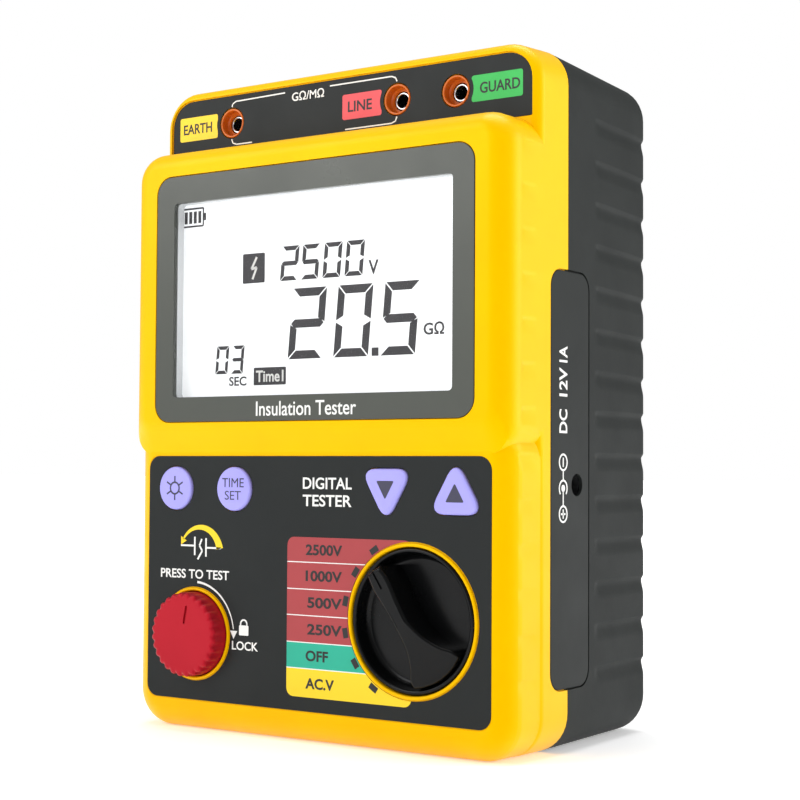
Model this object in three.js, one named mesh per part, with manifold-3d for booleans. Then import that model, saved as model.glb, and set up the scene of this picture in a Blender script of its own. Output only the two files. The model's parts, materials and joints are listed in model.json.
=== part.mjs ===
// Insulation resistance tester: a two-shell bench and field instrument that stands on its flat base.
// Millimetres, +Z up, front towards -Y, X to the right when facing the front.
// A depth is a distance behind the face of the display block, measured along +Y.
import * as THREE from 'three';
import { mergeVertices } from 'three/addons/utils/BufferGeometryUtils.js';
import Module from 'manifold-3d';

const wasm = await Module();
wasm.setup();

// ---------- driving dimensions ----------
const caseWidth = 140;
const caseHeight = 200;
const caseDepth = 85;
const splitDepth = 31;
const wall = 2.6;
const frontWall = 3.4;
const gap = 0.3;
const cornerRadius = 11.5;
const frontDraft = 0.05;
const rearDraft = 0.028;
const backRound = 5;

// levels of the front, as depths
const lowerDepth = 2.44;
const rimDepth = 15.8;
const rimWidth = 3.4;
const overlayThickness = 0.6;
const terminalDepth = rimDepth + 0.7;

// display block and the band that joins it to the lower panel
const bandLow = 83.5;
const bandHeight = 10.4;
const displayTopMargin = 22.2;
const windowLowMargin = 10.1;
const windowTopMargin = 8.6;
const windowSideMargin = 12;
const displaySideRound = 6.5;
const displayTopRound = 5.5;
const displayTopReach = 7;
const displayCorner = 9.5;
const lowerNarrower = 0.5;
const lowerSideRound = 9;
const lowerLowRound = 7;
const rimRound = 3;
const windowThickness = 1.5;
const windowRadius = 5.5;
const viewSideMargin = 7;
const viewLowMargin = 7.5;
const viewTopMargin = 8.3;
const viewRadius = 1.2;
const lcdDepth = 4.8;
const lcdThickness = 2;
const noseWall = 1.6;
const lcdFrameLip = 5.5;
const lcdFrameEdge = 4;
const lcdOverlap = 2.3;
const zebraRise = 1.4;
const zebraInset = 6;

// control panel
const overlaySideMargin = 7.7;
const overlayLow = 9.3;
const overlayBandGap = 0.3;
const overlayRadius = 4;

// function switch
const dialRingRadius = 21.75;
const dialRingWidth = 1.35;
const dialRingDepth = 1.9;
const dialEdgeX = 25.8;
const dialZ = 37.3;
const dialStep = 22.5;
const dialStartAngle = 33.75;
const dialFloorDepth = 10;
const dialRimDepth = 2.2;
const dialDishDepth = 6.9;
const gripTopDepth = -3.5;
const gripTailDepth = 1.4;
const gripTailHalf = 8.6;
const rotorRadius = 15;
const rotorShaftRadius = 3;
const rotorThickness = 2.6;

// test button
const testRingRadius = 13.9;
const testRingWidth = 0.95;
const testEdgeX = 19;
const testZ = 29.3;
const testFaceDepth = -3.2;
const testMarkLow = 3.5;
const testMarkHigh = 9;
const testTravel = 3;
const testFlutes = 28;
const testShaftRadius = 3;
const testShaftEnd = 23;
const springRadius = 6.4;
const springWire = 0.45;
const springSeatDepth = 3;
const switchHalf = 6.4;
const switchTall = 8;
const switchHeight = 6.4;
const bracketHalf = 9.5;
const bracketWall = 1.5;
const bracketHeight = 8;

// keys
const roundKeyRadius = 6.6;
const roundKeySides = 24;
const keyProud = 0.9;
const keyTravel = 1;
const keyRowDrop = 9.85;
const keyEdgeX = 11.3;
const keyPitch = 23.2;
const arrowKeyRadius = 8.2;
const arrowKeyCorner = 2.4;

// terminals
const jackDrop = 12.1;
const shroudRadius = 4.6;
const shroudWall = 0.7;
const socketRadius = 2.6;
const socketBore = 2;
const socketInset = 3;
const socketLength = 22;
const earthEdgeX = 24.4;
const guardEdgeX = 25.4;
const linePitch = 20.4;
const terminalBoardInset = 14;

// power inlet and its plate on the right-hand side
const sidePlateAhead = 9;
const sidePlateBehind = 13;
const sidePlateLow = 18.3;
const sidePlateHeight = 117.5;
const sidePlateThickness = 1;
const sidePlateInset = 0.4;
const inletBodyHalf = 5.5;
const inletBodyHeight = 14;
const inletSplitGap = 0.4;
const inletZ = 75.3;
const inletBore = 3.2;
const inletWall = 1.6;
const inletLength = 12;
const inletPinRadius = 1.05;
const inletPinInset = 2.6;

// rear shell
const ribPitch = 12.3;
const ribLow = 20.9;
const ribCount = 14;
const ribPlateGap = 4;
const ribDepth = 0.7;
const ribHeight = 4;

// battery compartment
const cellRadius = 7.25;
const cellLength = 50.5;
const cellRows = 4;
const cellNub = 1.2;
const cellGapHalf = 0.65;
const trayWall = 1.8;
const trayLow = 23;
const contactThickness = 0.5;
const coverThickness = 2.2;
const coverTab = 9.4;

// fasteners
const screwRadius = 1.5;
const screwHeadRadius = 3;
const screwHeadHeight = 2;
const bossRadius = 4.4;
const screwLength = 56;
const screwHeadInset = 2.5;
const bossEdgeX = 12;
const bossEdgeZ = 14;

// circuit boards
const boardThickness = 1.6;
const frontBoardDepth = 11;
const mainBoardDepth = 18;
const mainBoardInset = 2;
const mainBoardBossGap = 8;
const mainBoardDrop = 6;
const frontBoardClear = 3;
const frontBoardEdge = 2;
const matHalf = 9.6;
const headerHalf = 14;
const headerLow = 4;
const headerHeight = 5;
const coreX = -20;
const coreZ = 123;
const coreWide = 28;
const coreHeight = 22;
const coreThick = 12;
const coreTall = 20;
const coilWide = 20;
const coilHeight = 16;
const capacitorX = -4;
const capacitorZ = 96;
const capacitorLength = 38;
const capacitorRadius = 8;
const buzzerX = 6;
const buzzerZ = 66;
const buzzerRadius = 10;
const buzzerHeight = 6;
const buzzerHole = 1.5;

// ---------- values worked out from them ----------
const half = caseWidth / 2;
const displayHigh = caseHeight - displayTopMargin;
const sidePlateFront = splitDepth - sidePlateAhead;
const sidePlateBack = splitDepth + sidePlateBehind;
const inletDepth = splitDepth + inletSplitGap + inletBodyHalf;
const ribStart = sidePlateBack + ribPlateGap;
const windowHalf = half - windowSideMargin;
const windowLow = bandLow + windowLowMargin;
const windowHigh = displayHigh - windowTopMargin;
const viewHalf = windowHalf - viewSideMargin;
const viewLow = windowLow + viewLowMargin;
const viewHigh = windowHigh - viewTopMargin;
const overlayHalf = half - overlaySideMargin;
const overlayHigh = bandLow - overlayBandGap;
const terminalHalf = half - rimWidth;
const dialX = overlayHalf - dialEdgeX;
const testX = testEdgeX - overlayHalf;
const keyZ = overlayHigh - keyRowDrop;
const jackZ = caseHeight - jackDrop;
const trayInnerHalf = cellLength + cellGapHalf * 2 + contactThickness + gap * 2;
const trayOuterHalf = trayInnerHalf + trayWall;
const cellPitch = cellRadius * 2 + 0.6;
const trayHigh = trayLow + trayWall * 2 + cellPitch * cellRows;
const trayBack = caseDepth - wall - gap;
const trayDepth = cellRadius * 2 + gap * 3 + trayWall;
const frontMost = Math.min(testFaceDepth, gripTopDepth);
const middleDepth = (caseDepth + frontMost) / 2;
const coverHalf = trayInnerHalf + 1.3;
const coverLow = trayLow + trayWall - 1.3;
const coverHigh = trayHigh + coverTab;
const screwTipDepth = caseDepth - screwHeadInset - screwHeadHeight - screwLength;
const rotorFront = dialFloorDepth + 2 + gap;
const hubDepth = dialDishDepth + 0.8;
const springSeat = dialFloorDepth - testTravel - gap;
const far = 30; // how far a cutting tool runs past the piece it cuts

// ---------- solids ----------
const colours = {
  yellow: 0xffcf00, charcoal: 0x3f4142, overlay: 0x35373a, bezel: 0x4c524f, lilac: 0xb0abe6,
  red: 0xbf2f38, black: 0x1d1e20, orange: 0xe07a10, steel: 0xb9bcc0, brass: 0xc9a24a,
  white: 0xe8eaec, glass: 0xcdd6d2, board: 0x1f6b3f, cell: 0x2d5fa8, copper: 0xb06a3a,
};
const model = new THREE.Group();

function addPiece(name, solid, colour, roughness = 0.6, metalness = 0) {
  const mesh = solid.getMesh();
  const geometry = new THREE.BufferGeometry();
  geometry.setAttribute('position', new THREE.BufferAttribute(mesh.vertProperties, 3));
  geometry.setIndex(new THREE.BufferAttribute(mesh.triVerts, 1));
  geometry.computeVertexNormals();
  const material = new THREE.MeshStandardMaterial({ color: colour, roughness, metalness });
  const piece = new THREE.Mesh(geometry, material);
  piece.name = name;
  model.add(piece);
  return piece;
}

// A closed three.js geometry as a solid: vertices merged, empty triangles dropped, faces outwards.
function solidOf(geometry) {
  const bare = geometry.clone();
  bare.deleteAttribute('normal');
  bare.deleteAttribute('uv');
  const merged = mergeVertices(bare, 1e-4);
  const index = merged.index.array;
  const corners = [];
  for (let i = 0; i < index.length; i += 3) {
    const [a, b, c] = [index[i], index[i + 1], index[i + 2]];
    if (a !== b && b !== c && c !== a) corners.push(a, b, c);
  }
  const mesh = (order) => new wasm.Mesh({
    numProp: 3,
    vertProperties: new Float32Array(merged.attributes.position.array),
    triVerts: new Uint32Array(order),
  });
  const solid = new wasm.Manifold(mesh(corners));
  return solid.volume() > 0 ? solid : new wasm.Manifold(mesh(corners.reverse()));
}

function joined(...solids) {
  return solids.reduce((whole, solid) => whole.add(solid));
}

function block(x0, x1, depth0, depth1, z0, z1) {
  const geometry = new THREE.BoxGeometry(x1 - x0, depth1 - depth0, z1 - z0);
  geometry.translate((x0 + x1) / 2, (depth0 + depth1) / 2, (z0 + z1) / 2);
  return solidOf(geometry);
}

// A round bar along the depth direction.
function bar(x, z, depth0, depth1, radius, sides = 32) {
  const geometry = new THREE.CylinderGeometry(radius, radius, depth1 - depth0, sides);
  geometry.translate(x, (depth0 + depth1) / 2, z);
  return solidOf(geometry);
}

// A round bar along X.
function crossBar(x0, x1, depth, z, radius, sides = 20) {
  const geometry = new THREE.CylinderGeometry(radius, radius, x1 - x0, sides);
  geometry.rotateZ(Math.PI / 2);
  geometry.translate((x0 + x1) / 2, depth, z);
  return solidOf(geometry);
}

function tube(x, z, depth0, depth1, outer, inner, sides = 32) {
  return bar(x, z, depth0, depth1, outer, sides)
    .subtract(bar(x, z, depth0 - far, depth1 + far, inner, sides));
}

// The corners of a rounded rectangle, anticlockwise as seen from the front.
function roundedRing(x0, x1, z0, z1, lowRadius, highRadius = lowRadius, steps = 4) {
  const corners = [
    [x1 - lowRadius, z0 + lowRadius, lowRadius, -Math.PI / 2],
    [x1 - highRadius, z1 - highRadius, highRadius, 0],
    [x0 + highRadius, z1 - highRadius, highRadius, Math.PI / 2],
    [x0 + lowRadius, z0 + lowRadius, lowRadius, Math.PI],
  ];
  const ring = [];
  for (const [x, z, radius, start] of corners) {
    for (let k = 0; k <= steps; k += 1) {
      const angle = start + (k / steps) * Math.PI / 2;
      ring.push(new THREE.Vector2(x + radius * Math.cos(angle), z + radius * Math.sin(angle)));
    }
  }
  return ring;
}

// A flat plate: an outline in X and Z, pushed from one depth to another.
function plate(ring, depth0, depth1) {
  const geometry = new THREE.ExtrudeGeometry(new THREE.Shape(ring), {
    depth: depth1 - depth0, bevelEnabled: false, steps: 1,
  });
  geometry.rotateX(Math.PI / 2);
  geometry.translate(0, depth1, 0);
  return solidOf(geometry);
}

// A profile of depth and Z points, pushed along X.
function slab(points, x0, x1) {
  const geometry = new THREE.ExtrudeGeometry(new THREE.Shape(points), {
    depth: x1 - x0, bevelEnabled: false, steps: 1,
  });
  const turn = new THREE.Matrix4().makeBasis(
    new THREE.Vector3(0, 1, 0), new THREE.Vector3(0, 0, 1), new THREE.Vector3(1, 0, 0),
  );
  geometry.applyMatrix4(turn);
  geometry.translate(x0, 0, 0);
  return solidOf(geometry);
}

// A closed profile of radius and depth points, turned round an axis along the depth direction.
function turned(x, z, points, sides = 40) {
  const closed = [...points, points[0]].map(([radius, depth]) => new THREE.Vector2(radius, depth));
  const geometry = new THREE.LatheGeometry(closed, sides);
  geometry.translate(x, 0, z);
  return solidOf(geometry);
}

// A closed skin through rings of equal length, each at its own depth.
function loft(sections) {
  const count = sections[0].ring.length;
  const position = [];
  const index = [];
  for (const { ring, depth } of sections) {
    for (const point of ring) position.push(point.x, depth, point.y);
  }
  for (let s = 0; s + 1 < sections.length; s += 1) {
    for (let k = 0; k < count; k += 1) {
      const [a, b] = [s * count + k, s * count + ((k + 1) % count)];
      index.push(a, a + count, b + count, a, b + count, b);
    }
  }
  const last = (sections.length - 1) * count;
  for (let k = 1; k + 1 < count; k += 1) {
    index.push(0, k, k + 1);
    index.push(last, last + k + 1, last + k);
  }
  const geometry = new THREE.BufferGeometry();
  geometry.setAttribute('position', new THREE.Float32BufferAttribute(position, 3));
  geometry.setIndex(index);
  return solidOf(geometry);
}

// How far a rounded edge lies inside its full size, at a distance behind the front of the round.
function roundInset(size, reach, behind) {
  if (behind >= reach) return 0;
  const share = (reach - behind) / reach;
  return size * (1 - Math.sqrt(Math.max(0, 1 - share * share)));
}

// One step of the front housing: its face at `front`, its full width at the split, its edges rounded.
// `inwards` gives the same step seen from inside a wall.
function housingStep(step, inwards = 0) {
  const front = inwards ? step.front + frontWall : step.front;
  const side = Math.max(step.sideRound - inwards, 0.5);
  const lowRound = Math.max(step.lowRound - inwards, 0);
  const highRound = Math.max(step.highRound - inwards, 0);
  const highReach = Math.max(step.highReach - inwards, 0.5);
  const reach = Math.max(side, lowRound, highReach);
  const shares = inwards ? [0, 0.3, 1] : [0, 0.08, 0.25, 0.55, 1];
  const behinds = shares.map((share) => share * reach);
  const stations = [...behinds.map((behind) => front + behind), step.back];
  return loft(stations.map((depth) => {
    const behind = depth - front;
    const draft = (splitDepth - Math.min(depth, splitDepth)) * frontDraft;
    const inset = roundInset(side, side, behind);
    const width = half - draft - inwards - inset - step.narrower;
    const ramp = step.ramp * Math.max(0, 1 - (depth - step.front) / lowerDepth);
    const low = step.low + inwards + ramp + roundInset(lowRound, Math.max(lowRound, 0.5), behind);
    const topDraft = step.highDraft ? draft : 0;
    const high = step.high - inwards - topDraft - roundInset(highRound, highReach, behind);
    const corner = Math.max(step.highCorner - inwards - inset, 1);
    const lowCorner = step.squareLow ? 1 : Math.max(cornerRadius - inwards - inset, 1);
    return { depth, ring: roundedRing(-width, width, low, high, lowCorner, corner, inwards ? 2 : 5) };
  }));
}

const housingSteps = [
  {
    front: rimDepth, back: splitDepth, low: 0, high: caseHeight, sideRound: rimRound, lowRound: rimRound,
    highRound: rimRound, highReach: rimRound, highCorner: cornerRadius, narrower: 0, ramp: 0, highDraft: true,
  },
  {
    front: lowerDepth, back: splitDepth, low: 0, high: bandLow + bandHeight, sideRound: lowerSideRound,
    lowRound: lowerLowRound, highRound: 0, highReach: 1, highCorner: cornerRadius, narrower: lowerNarrower,
    ramp: 0,
  },
  {
    front: 0, back: splitDepth, low: bandLow, high: displayHigh, sideRound: displaySideRound, lowRound: 0,
    highRound: displayTopRound, highReach: displayTopReach, highCorner: displayCorner, narrower: 0,
    ramp: bandHeight, squareLow: true,
  },
];

// A key's outline, grown by a clearance.
function roundKeyRing(x, grow) {
  const ring = [];
  for (let k = 0; k < roundKeySides; k += 1) {
    const angle = (k / roundKeySides) * Math.PI * 2;
    const radius = roundKeyRadius + grow;
    ring.push(new THREE.Vector2(x + radius * Math.cos(angle), keyZ + radius * Math.sin(angle)));
  }
  return ring;
}

function arrowKeyRing(x, up, grow) {
  const ring = [];
  const reach = arrowKeyRadius - arrowKeyCorner;
  for (let corner = 0; corner < 3; corner += 1) {
    const middle = (up ? 90 : 270) + corner * 120;
    const cx = x + reach * Math.cos(THREE.MathUtils.degToRad(middle));
    const cz = keyZ + reach * Math.sin(THREE.MathUtils.degToRad(middle)) - (up ? 1.9 : -1.9);
    for (let k = 0; k <= 4; k += 1) {
      const angle = THREE.MathUtils.degToRad(middle - 60 + k * 30);
      const radius = arrowKeyCorner + grow;
      ring.push(new THREE.Vector2(cx + radius * Math.cos(angle), cz + radius * Math.sin(angle)));
    }
  }
  return ring;
}

const keys = [
  { name: 'backlight_key', ring: (grow) => roundKeyRing(keyEdgeX - overlayHalf, grow) },
  { name: 'time_key', ring: (grow) => roundKeyRing(keyEdgeX - overlayHalf + keyPitch, grow) },
  { name: 'down_key', ring: (grow) => arrowKeyRing(overlayHalf - keyEdgeX - keyPitch, false, grow) },
  { name: 'up_key', ring: (grow) => arrowKeyRing(overlayHalf - keyEdgeX, true, grow) },
];

const jacks = [
  { name: 'earth', x: earthEdgeX - terminalHalf },
  { name: 'line', x: terminalHalf - guardEdgeX - linePitch },
  { name: 'guard', x: terminalHalf - guardEdgeX },
];

const bossPlaces = [];
for (const [row, z] of [['lower', bossEdgeZ], ['upper', caseHeight - bossEdgeZ]]) {
  for (const [side, sign] of [['left', -1], ['right', 1]]) {
    bossPlaces.push({ name: `case_screw_${row}_${side}`, x: sign * (half - bossEdgeX), z });
  }
}

function overlayRing(grow) {
  return roundedRing(-overlayHalf - grow, overlayHalf + grow, overlayLow - grow, overlayHigh + grow,
    overlayRadius + grow);
}

function windowRing(grow) {
  return roundedRing(-windowHalf - grow, windowHalf + grow, windowLow - grow, windowHigh + grow,
    windowRadius + grow);
}

function viewRing(grow) {
  const radius = viewRadius + grow;
  return roundedRing(-viewHalf - grow, viewHalf + grow, viewLow - grow, viewHigh + grow, radius, radius, 2);
}

const sidePlateX = half - sidePlateInset;
const platePocketX = sidePlateX - sidePlateThickness - gap;

function sidePlateRing(grow) {
  const high = sidePlateLow + sidePlateHeight;
  return roundedRing(sidePlateFront - grow, sidePlateBack + grow, sidePlateLow - grow, high + grow, 5 + grow);
}

function coverRing(grow) {
  return roundedRing(-coverHalf - grow, coverHalf + grow, coverLow - grow, coverHigh + grow, 4 + grow);
}

const coverHeadFront = caseDepth - 1.4;
const coverScrews = [['left', -1], ['right', 1]].map(([side, sign]) => (
  { name: `cover_screw_${side}`, x: sign * (coverHalf - 16), z: trayHigh + coverTab / 2 + gap }
));
const matDepth = frontBoardDepth - 1.6;

function sidePocket() {
  return slab(sidePlateRing(gap), platePocketX, half + far);
}

function terminalRing(grow) {
  const low = displayHigh + gap - grow;
  return roundedRing(-terminalHalf - grow, terminalHalf + grow, low, caseHeight - rimWidth + grow,
    0.8, 8.2 + grow);
}

// ---------- the two shells ----------
function frontShell() {
  const outer = joined(...housingSteps.map((step) => housingStep(step)));
  const inner = joined(...housingSteps.map((step) => housingStep({ ...step, back: splitDepth + far }, wall)));
  const dialWell = bar(dialX, dialZ, dialRingDepth, dialFloorDepth + 2, dialRingRadius, 40);
  const testWell = bar(testX, testZ, dialRingDepth, dialFloorDepth + 2, testRingRadius, 32);
  let shell = joined(outer.subtract(inner), dialWell, testWell);
  for (const { x, z } of bossPlaces) {
    const start = (z > displayHigh ? rimDepth : lowerDepth) + frontWall - 1;
    shell = shell.add(bar(x, z, start, splitDepth - gap, bossRadius, 16));
    shell = shell.subtract(bar(x, z, screwTipDepth - 1, splitDepth + 1, screwRadius + gap, 12));
  }
  const panelFloor = lowerDepth + overlayThickness + gap;
  const panelRing = overlayRing(gap);
  const panelPocket = plate(panelRing, lowerDepth - far, panelFloor)
    .subtract(bar(dialX, dialZ, -far, far, dialRingRadius, 40))
    .subtract(bar(testX, testZ, -far, far, testRingRadius, 32));
  const terminalPocket = plate(terminalRing(gap), rimDepth - far, terminalDepth + overlayThickness + gap);
  const windowPocket = plate(windowRing(gap), -far, windowThickness + gap);
  const viewHole = plate(viewRing(noseWall + gap), -far, far);
  const cuts = [
    panelPocket, terminalPocket, windowPocket, viewHole, sidePocket(),
    bar(dialX, dialZ, -far, dialFloorDepth, dialRingRadius - dialRingWidth, 40),
    bar(dialX, dialZ, -far, far, rotorShaftRadius + gap, 24),
    bar(testX, testZ, -far, dialFloorDepth, testRingRadius - testRingWidth, 32),
    bar(testX, testZ, -far, far, testShaftRadius + gap, 24),
    ...keys.map((key) => plate(key.ring(gap), -far, far)),
    ...jacks.map((jack) => bar(jack.x, jackZ, -far, splitDepth + far, shroudRadius + gap, 20)),
    block(-far * 4, far * 4, splitDepth - gap / 2, splitDepth + far * 2, -far, caseHeight + far),
  ];
  for (const cut of cuts) shell = shell.subtract(cut);
  addPiece('front_shell', shell, colours.yellow, 0.45);
}

function rearBody(inwards) {
  const back = caseDepth - inwards;
  const start = splitDepth + (inwards ? -far : gap / 2);
  const round = Math.max(backRound - inwards, 1);
  const turns = [0, 0.3, 0.6, 0.85, 1];
  const depths = [start, splitDepth + gap, ...turns.map((turn) => back - round + round * turn)];
  return loft(depths.map((depth) => {
    const draft = Math.max(0, depth - splitDepth) * rearDraft;
    const inset = roundInset(round, round, back - depth);
    const width = half - draft - inwards - inset;
    const corner = Math.max(cornerRadius - inwards - inset, 1);
    return {
      depth,
      ring: roundedRing(-width, width, inwards + inset, caseHeight - draft - inwards - inset, corner, corner,
        inwards ? 2 : 5),
    };
  }));
}

// A grip groove across one flank: a shallow step from behind the split to the back, following the draft.
function ribGroove(z, sign) {
  const out = half + 2;
  const shape = new THREE.Shape([
    new THREE.Vector2(out, z + ribHeight / 2),
    new THREE.Vector2(half - ribDepth, z + ribHeight / 4),
    new THREE.Vector2(out, z - ribHeight / 2),
  ]);
  const geometry = new THREE.ExtrudeGeometry(shape, { depth: caseDepth, bevelEnabled: false, steps: 1 });
  geometry.rotateX(Math.PI / 2);
  geometry.translate(0, ribStart + caseDepth, 0);
  const lean = new THREE.Matrix4().makeShear(0, 0, -rearDraft, 0, 0, 0);
  geometry.applyMatrix4(lean);
  geometry.translate(splitDepth * rearDraft, 0, 0);
  if (sign < 0) geometry.rotateY(Math.PI).translate(0, 0, z * 2);
  return solidOf(geometry);
}

function rearShell() {
  let shell = rearBody(0).subtract(rearBody(wall));
  const headSeat = caseDepth - screwHeadInset - screwHeadHeight - gap;
  for (const { x, z } of bossPlaces) {
    shell = shell.add(bar(x, z, splitDepth + gap, caseDepth - 1, bossRadius, 16));
  }
  const ledgeHalf = coverHalf - 4;
  shell = shell.add(block(-ledgeHalf, ledgeHalf, trayBack - coverThickness, caseDepth - coverThickness - gap,
    trayHigh + gap, coverHigh + 3));
  const ledgeBack = caseDepth - coverThickness - gap;
  const ledge = block(-ledgeHalf, ledgeHalf, 0, ledgeBack, trayHigh + gap, coverHigh + 3);
  const coverPocket = plate(coverRing(gap), trayBack + gap, caseDepth + far).subtract(ledge);
  const inletHole = inletBore + inletWall + gap;
  shell = shell.subtract(coverPocket).subtract(sidePocket());
  shell = shell.subtract(crossBar(half - wall * 2, half + far, inletDepth, inletZ, inletHole, 20));
  for (const { x, z } of bossPlaces) {
    shell = shell.subtract(bar(x, z, 0, caseDepth + far, screwRadius + gap, 12));
    shell = shell.subtract(bar(x, z, headSeat, caseDepth + far, screwHeadRadius + gap, 16));
  }
  for (const { x, z } of coverScrews) shell = shell.subtract(bar(x, z, 0, caseDepth, screwRadius + gap, 12));
  for (let k = 0; k < ribCount; k += 1) {
    const z = ribLow + k * ribPitch;
    shell = shell.subtract(ribGroove(z, 1)).subtract(ribGroove(z, -1));
  }
  addPiece('rear_shell', shell, colours.charcoal, 0.65);
}

// ---------- front panels and display ----------
function panels() {
  let control = plate(overlayRing(0), lowerDepth, lowerDepth + overlayThickness);
  control = control.subtract(bar(dialX, dialZ, -far, far, dialRingRadius + gap, 40));
  control = control.subtract(bar(testX, testZ, -far, far, testRingRadius + gap, 32));
  for (const key of keys) control = control.subtract(plate(key.ring(gap), -far, far));
  addPiece('control_overlay', control, colours.overlay, 0.5);
  let terminal = plate(terminalRing(0), terminalDepth, terminalDepth + overlayThickness);
  for (const jack of jacks) {
    terminal = terminal.subtract(bar(jack.x, jackZ, 0, far, shroudRadius + gap, 20));
  }
  addPiece('terminal_overlay', terminal, colours.overlay, 0.5);
  addPiece('display_window', plate(windowRing(0), 0, windowThickness), colours.bezel, 0.35);
}

function display() {
  const frameFront = frontWall + gap;
  const frameBack = frontBoardDepth - gap;
  const outer = viewHalf + lcdFrameLip;
  const outerRing = roundedRing(-outer, outer, viewLow - lcdFrameEdge, viewHigh + lcdFrameEdge, 1);
  const body = plate(outerRing, frameFront, frameBack);
  const nose = plate(viewRing(noseWall), windowThickness + gap, frameFront + 1);
  const pocketX = outer - noseWall;
  const pocketEdge = lcdOverlap + gap;
  const pocket = block(-pocketX, pocketX, lcdDepth - gap, far, viewLow - pocketEdge, viewHigh + pocketEdge);
  const frame = joined(body, nose).subtract(plate(viewRing(0), -far, far)).subtract(pocket);
  addPiece('lcd_frame', frame, colours.white, 0.6);
  const glassX = pocketX - gap;
  const stripTop = viewLow + zebraRise;
  const lcdBack = lcdDepth + lcdThickness;
  const glassLow = viewLow - lcdOverlap;
  const glassHigh = viewHigh + lcdOverlap;
  addPiece('lcd_glass', block(-glassX, glassX, lcdDepth, lcdBack, glassLow, glassHigh), colours.glass, 0.15);
  const light = block(-glassX, glassX, lcdBack + gap, frameBack - gap, stripTop + gap, glassHigh);
  addPiece('backlight_panel', light, colours.white, 0.4);
  const stripX = glassX - zebraInset;
  const strip = block(-stripX, stripX, lcdBack + gap, frontBoardDepth - gap, glassLow, stripTop);
  addPiece('zebra_strip', strip, colours.black, 0.8);
}

// ---------- circuit boards and what stands on them ----------
function boards() {
  const frontBoardLow = dialZ + dialRingRadius + frontBoardClear;
  const frontBoardHigh = viewHigh + lcdFrameEdge + frontBoardEdge;
  addPiece('front_board', block(-windowHalf, windowHalf, frontBoardDepth, frontBoardDepth + boardThickness,
    frontBoardLow, frontBoardHigh), colours.board, 0.5);
  addPiece('keypad_mat', block(-windowHalf, windowHalf, matDepth, frontBoardDepth - gap, keyZ - matHalf,
    keyZ + matHalf), colours.lilac, 0.8);
  const mainHalf = windowHalf - mainBoardInset;
  const mainBack = mainBoardDepth + boardThickness;
  const mainLow = bossEdgeZ + mainBoardBossGap;
  const main = block(-mainHalf, mainHalf, mainBoardDepth, mainBack, mainLow, displayHigh - mainBoardDrop)
    .subtract(bar(testX, testZ, 0, far, testShaftRadius + 1, 20));
  addPiece('main_board', main, colours.board, 0.5);
  const headerFront = frontBoardDepth + boardThickness + gap;
  addPiece('board_header', block(-headerHalf, headerHalf, headerFront, mainBoardDepth - gap,
    windowLow + headerLow, windowLow + headerLow + headerHeight), colours.black, 0.6);
  const standOff = mainBack + gap;
  const coreStep = (coreTall - coreThick) / 2;
  const core = joined(
    block(coreX - coreWide / 2, coreX + coreWide / 2, standOff + coreStep, standOff + coreStep + coreThick,
      coreZ - coreHeight / 2, coreZ + coreHeight / 2),
    block(coreX - coilWide / 2, coreX + coilWide / 2, standOff, standOff + coreTall,
      coreZ - coilHeight / 2, coreZ + coilHeight / 2),
  );
  addPiece('hv_transformer', core, colours.copper, 0.5);
  const can = crossBar(capacitorX, capacitorX + capacitorLength, standOff + capacitorRadius, capacitorZ,
    capacitorRadius);
  addPiece('hv_capacitor', can, colours.copper, 0.4);
  const sounder = bar(buzzerX, buzzerZ, standOff, standOff + buzzerHeight, buzzerRadius, 24)
    .subtract(bar(buzzerX, buzzerZ, standOff + buzzerHeight - 1, far * 2, buzzerHole, 12));
  addPiece('buzzer', sounder, colours.black, 0.5);
}

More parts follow.
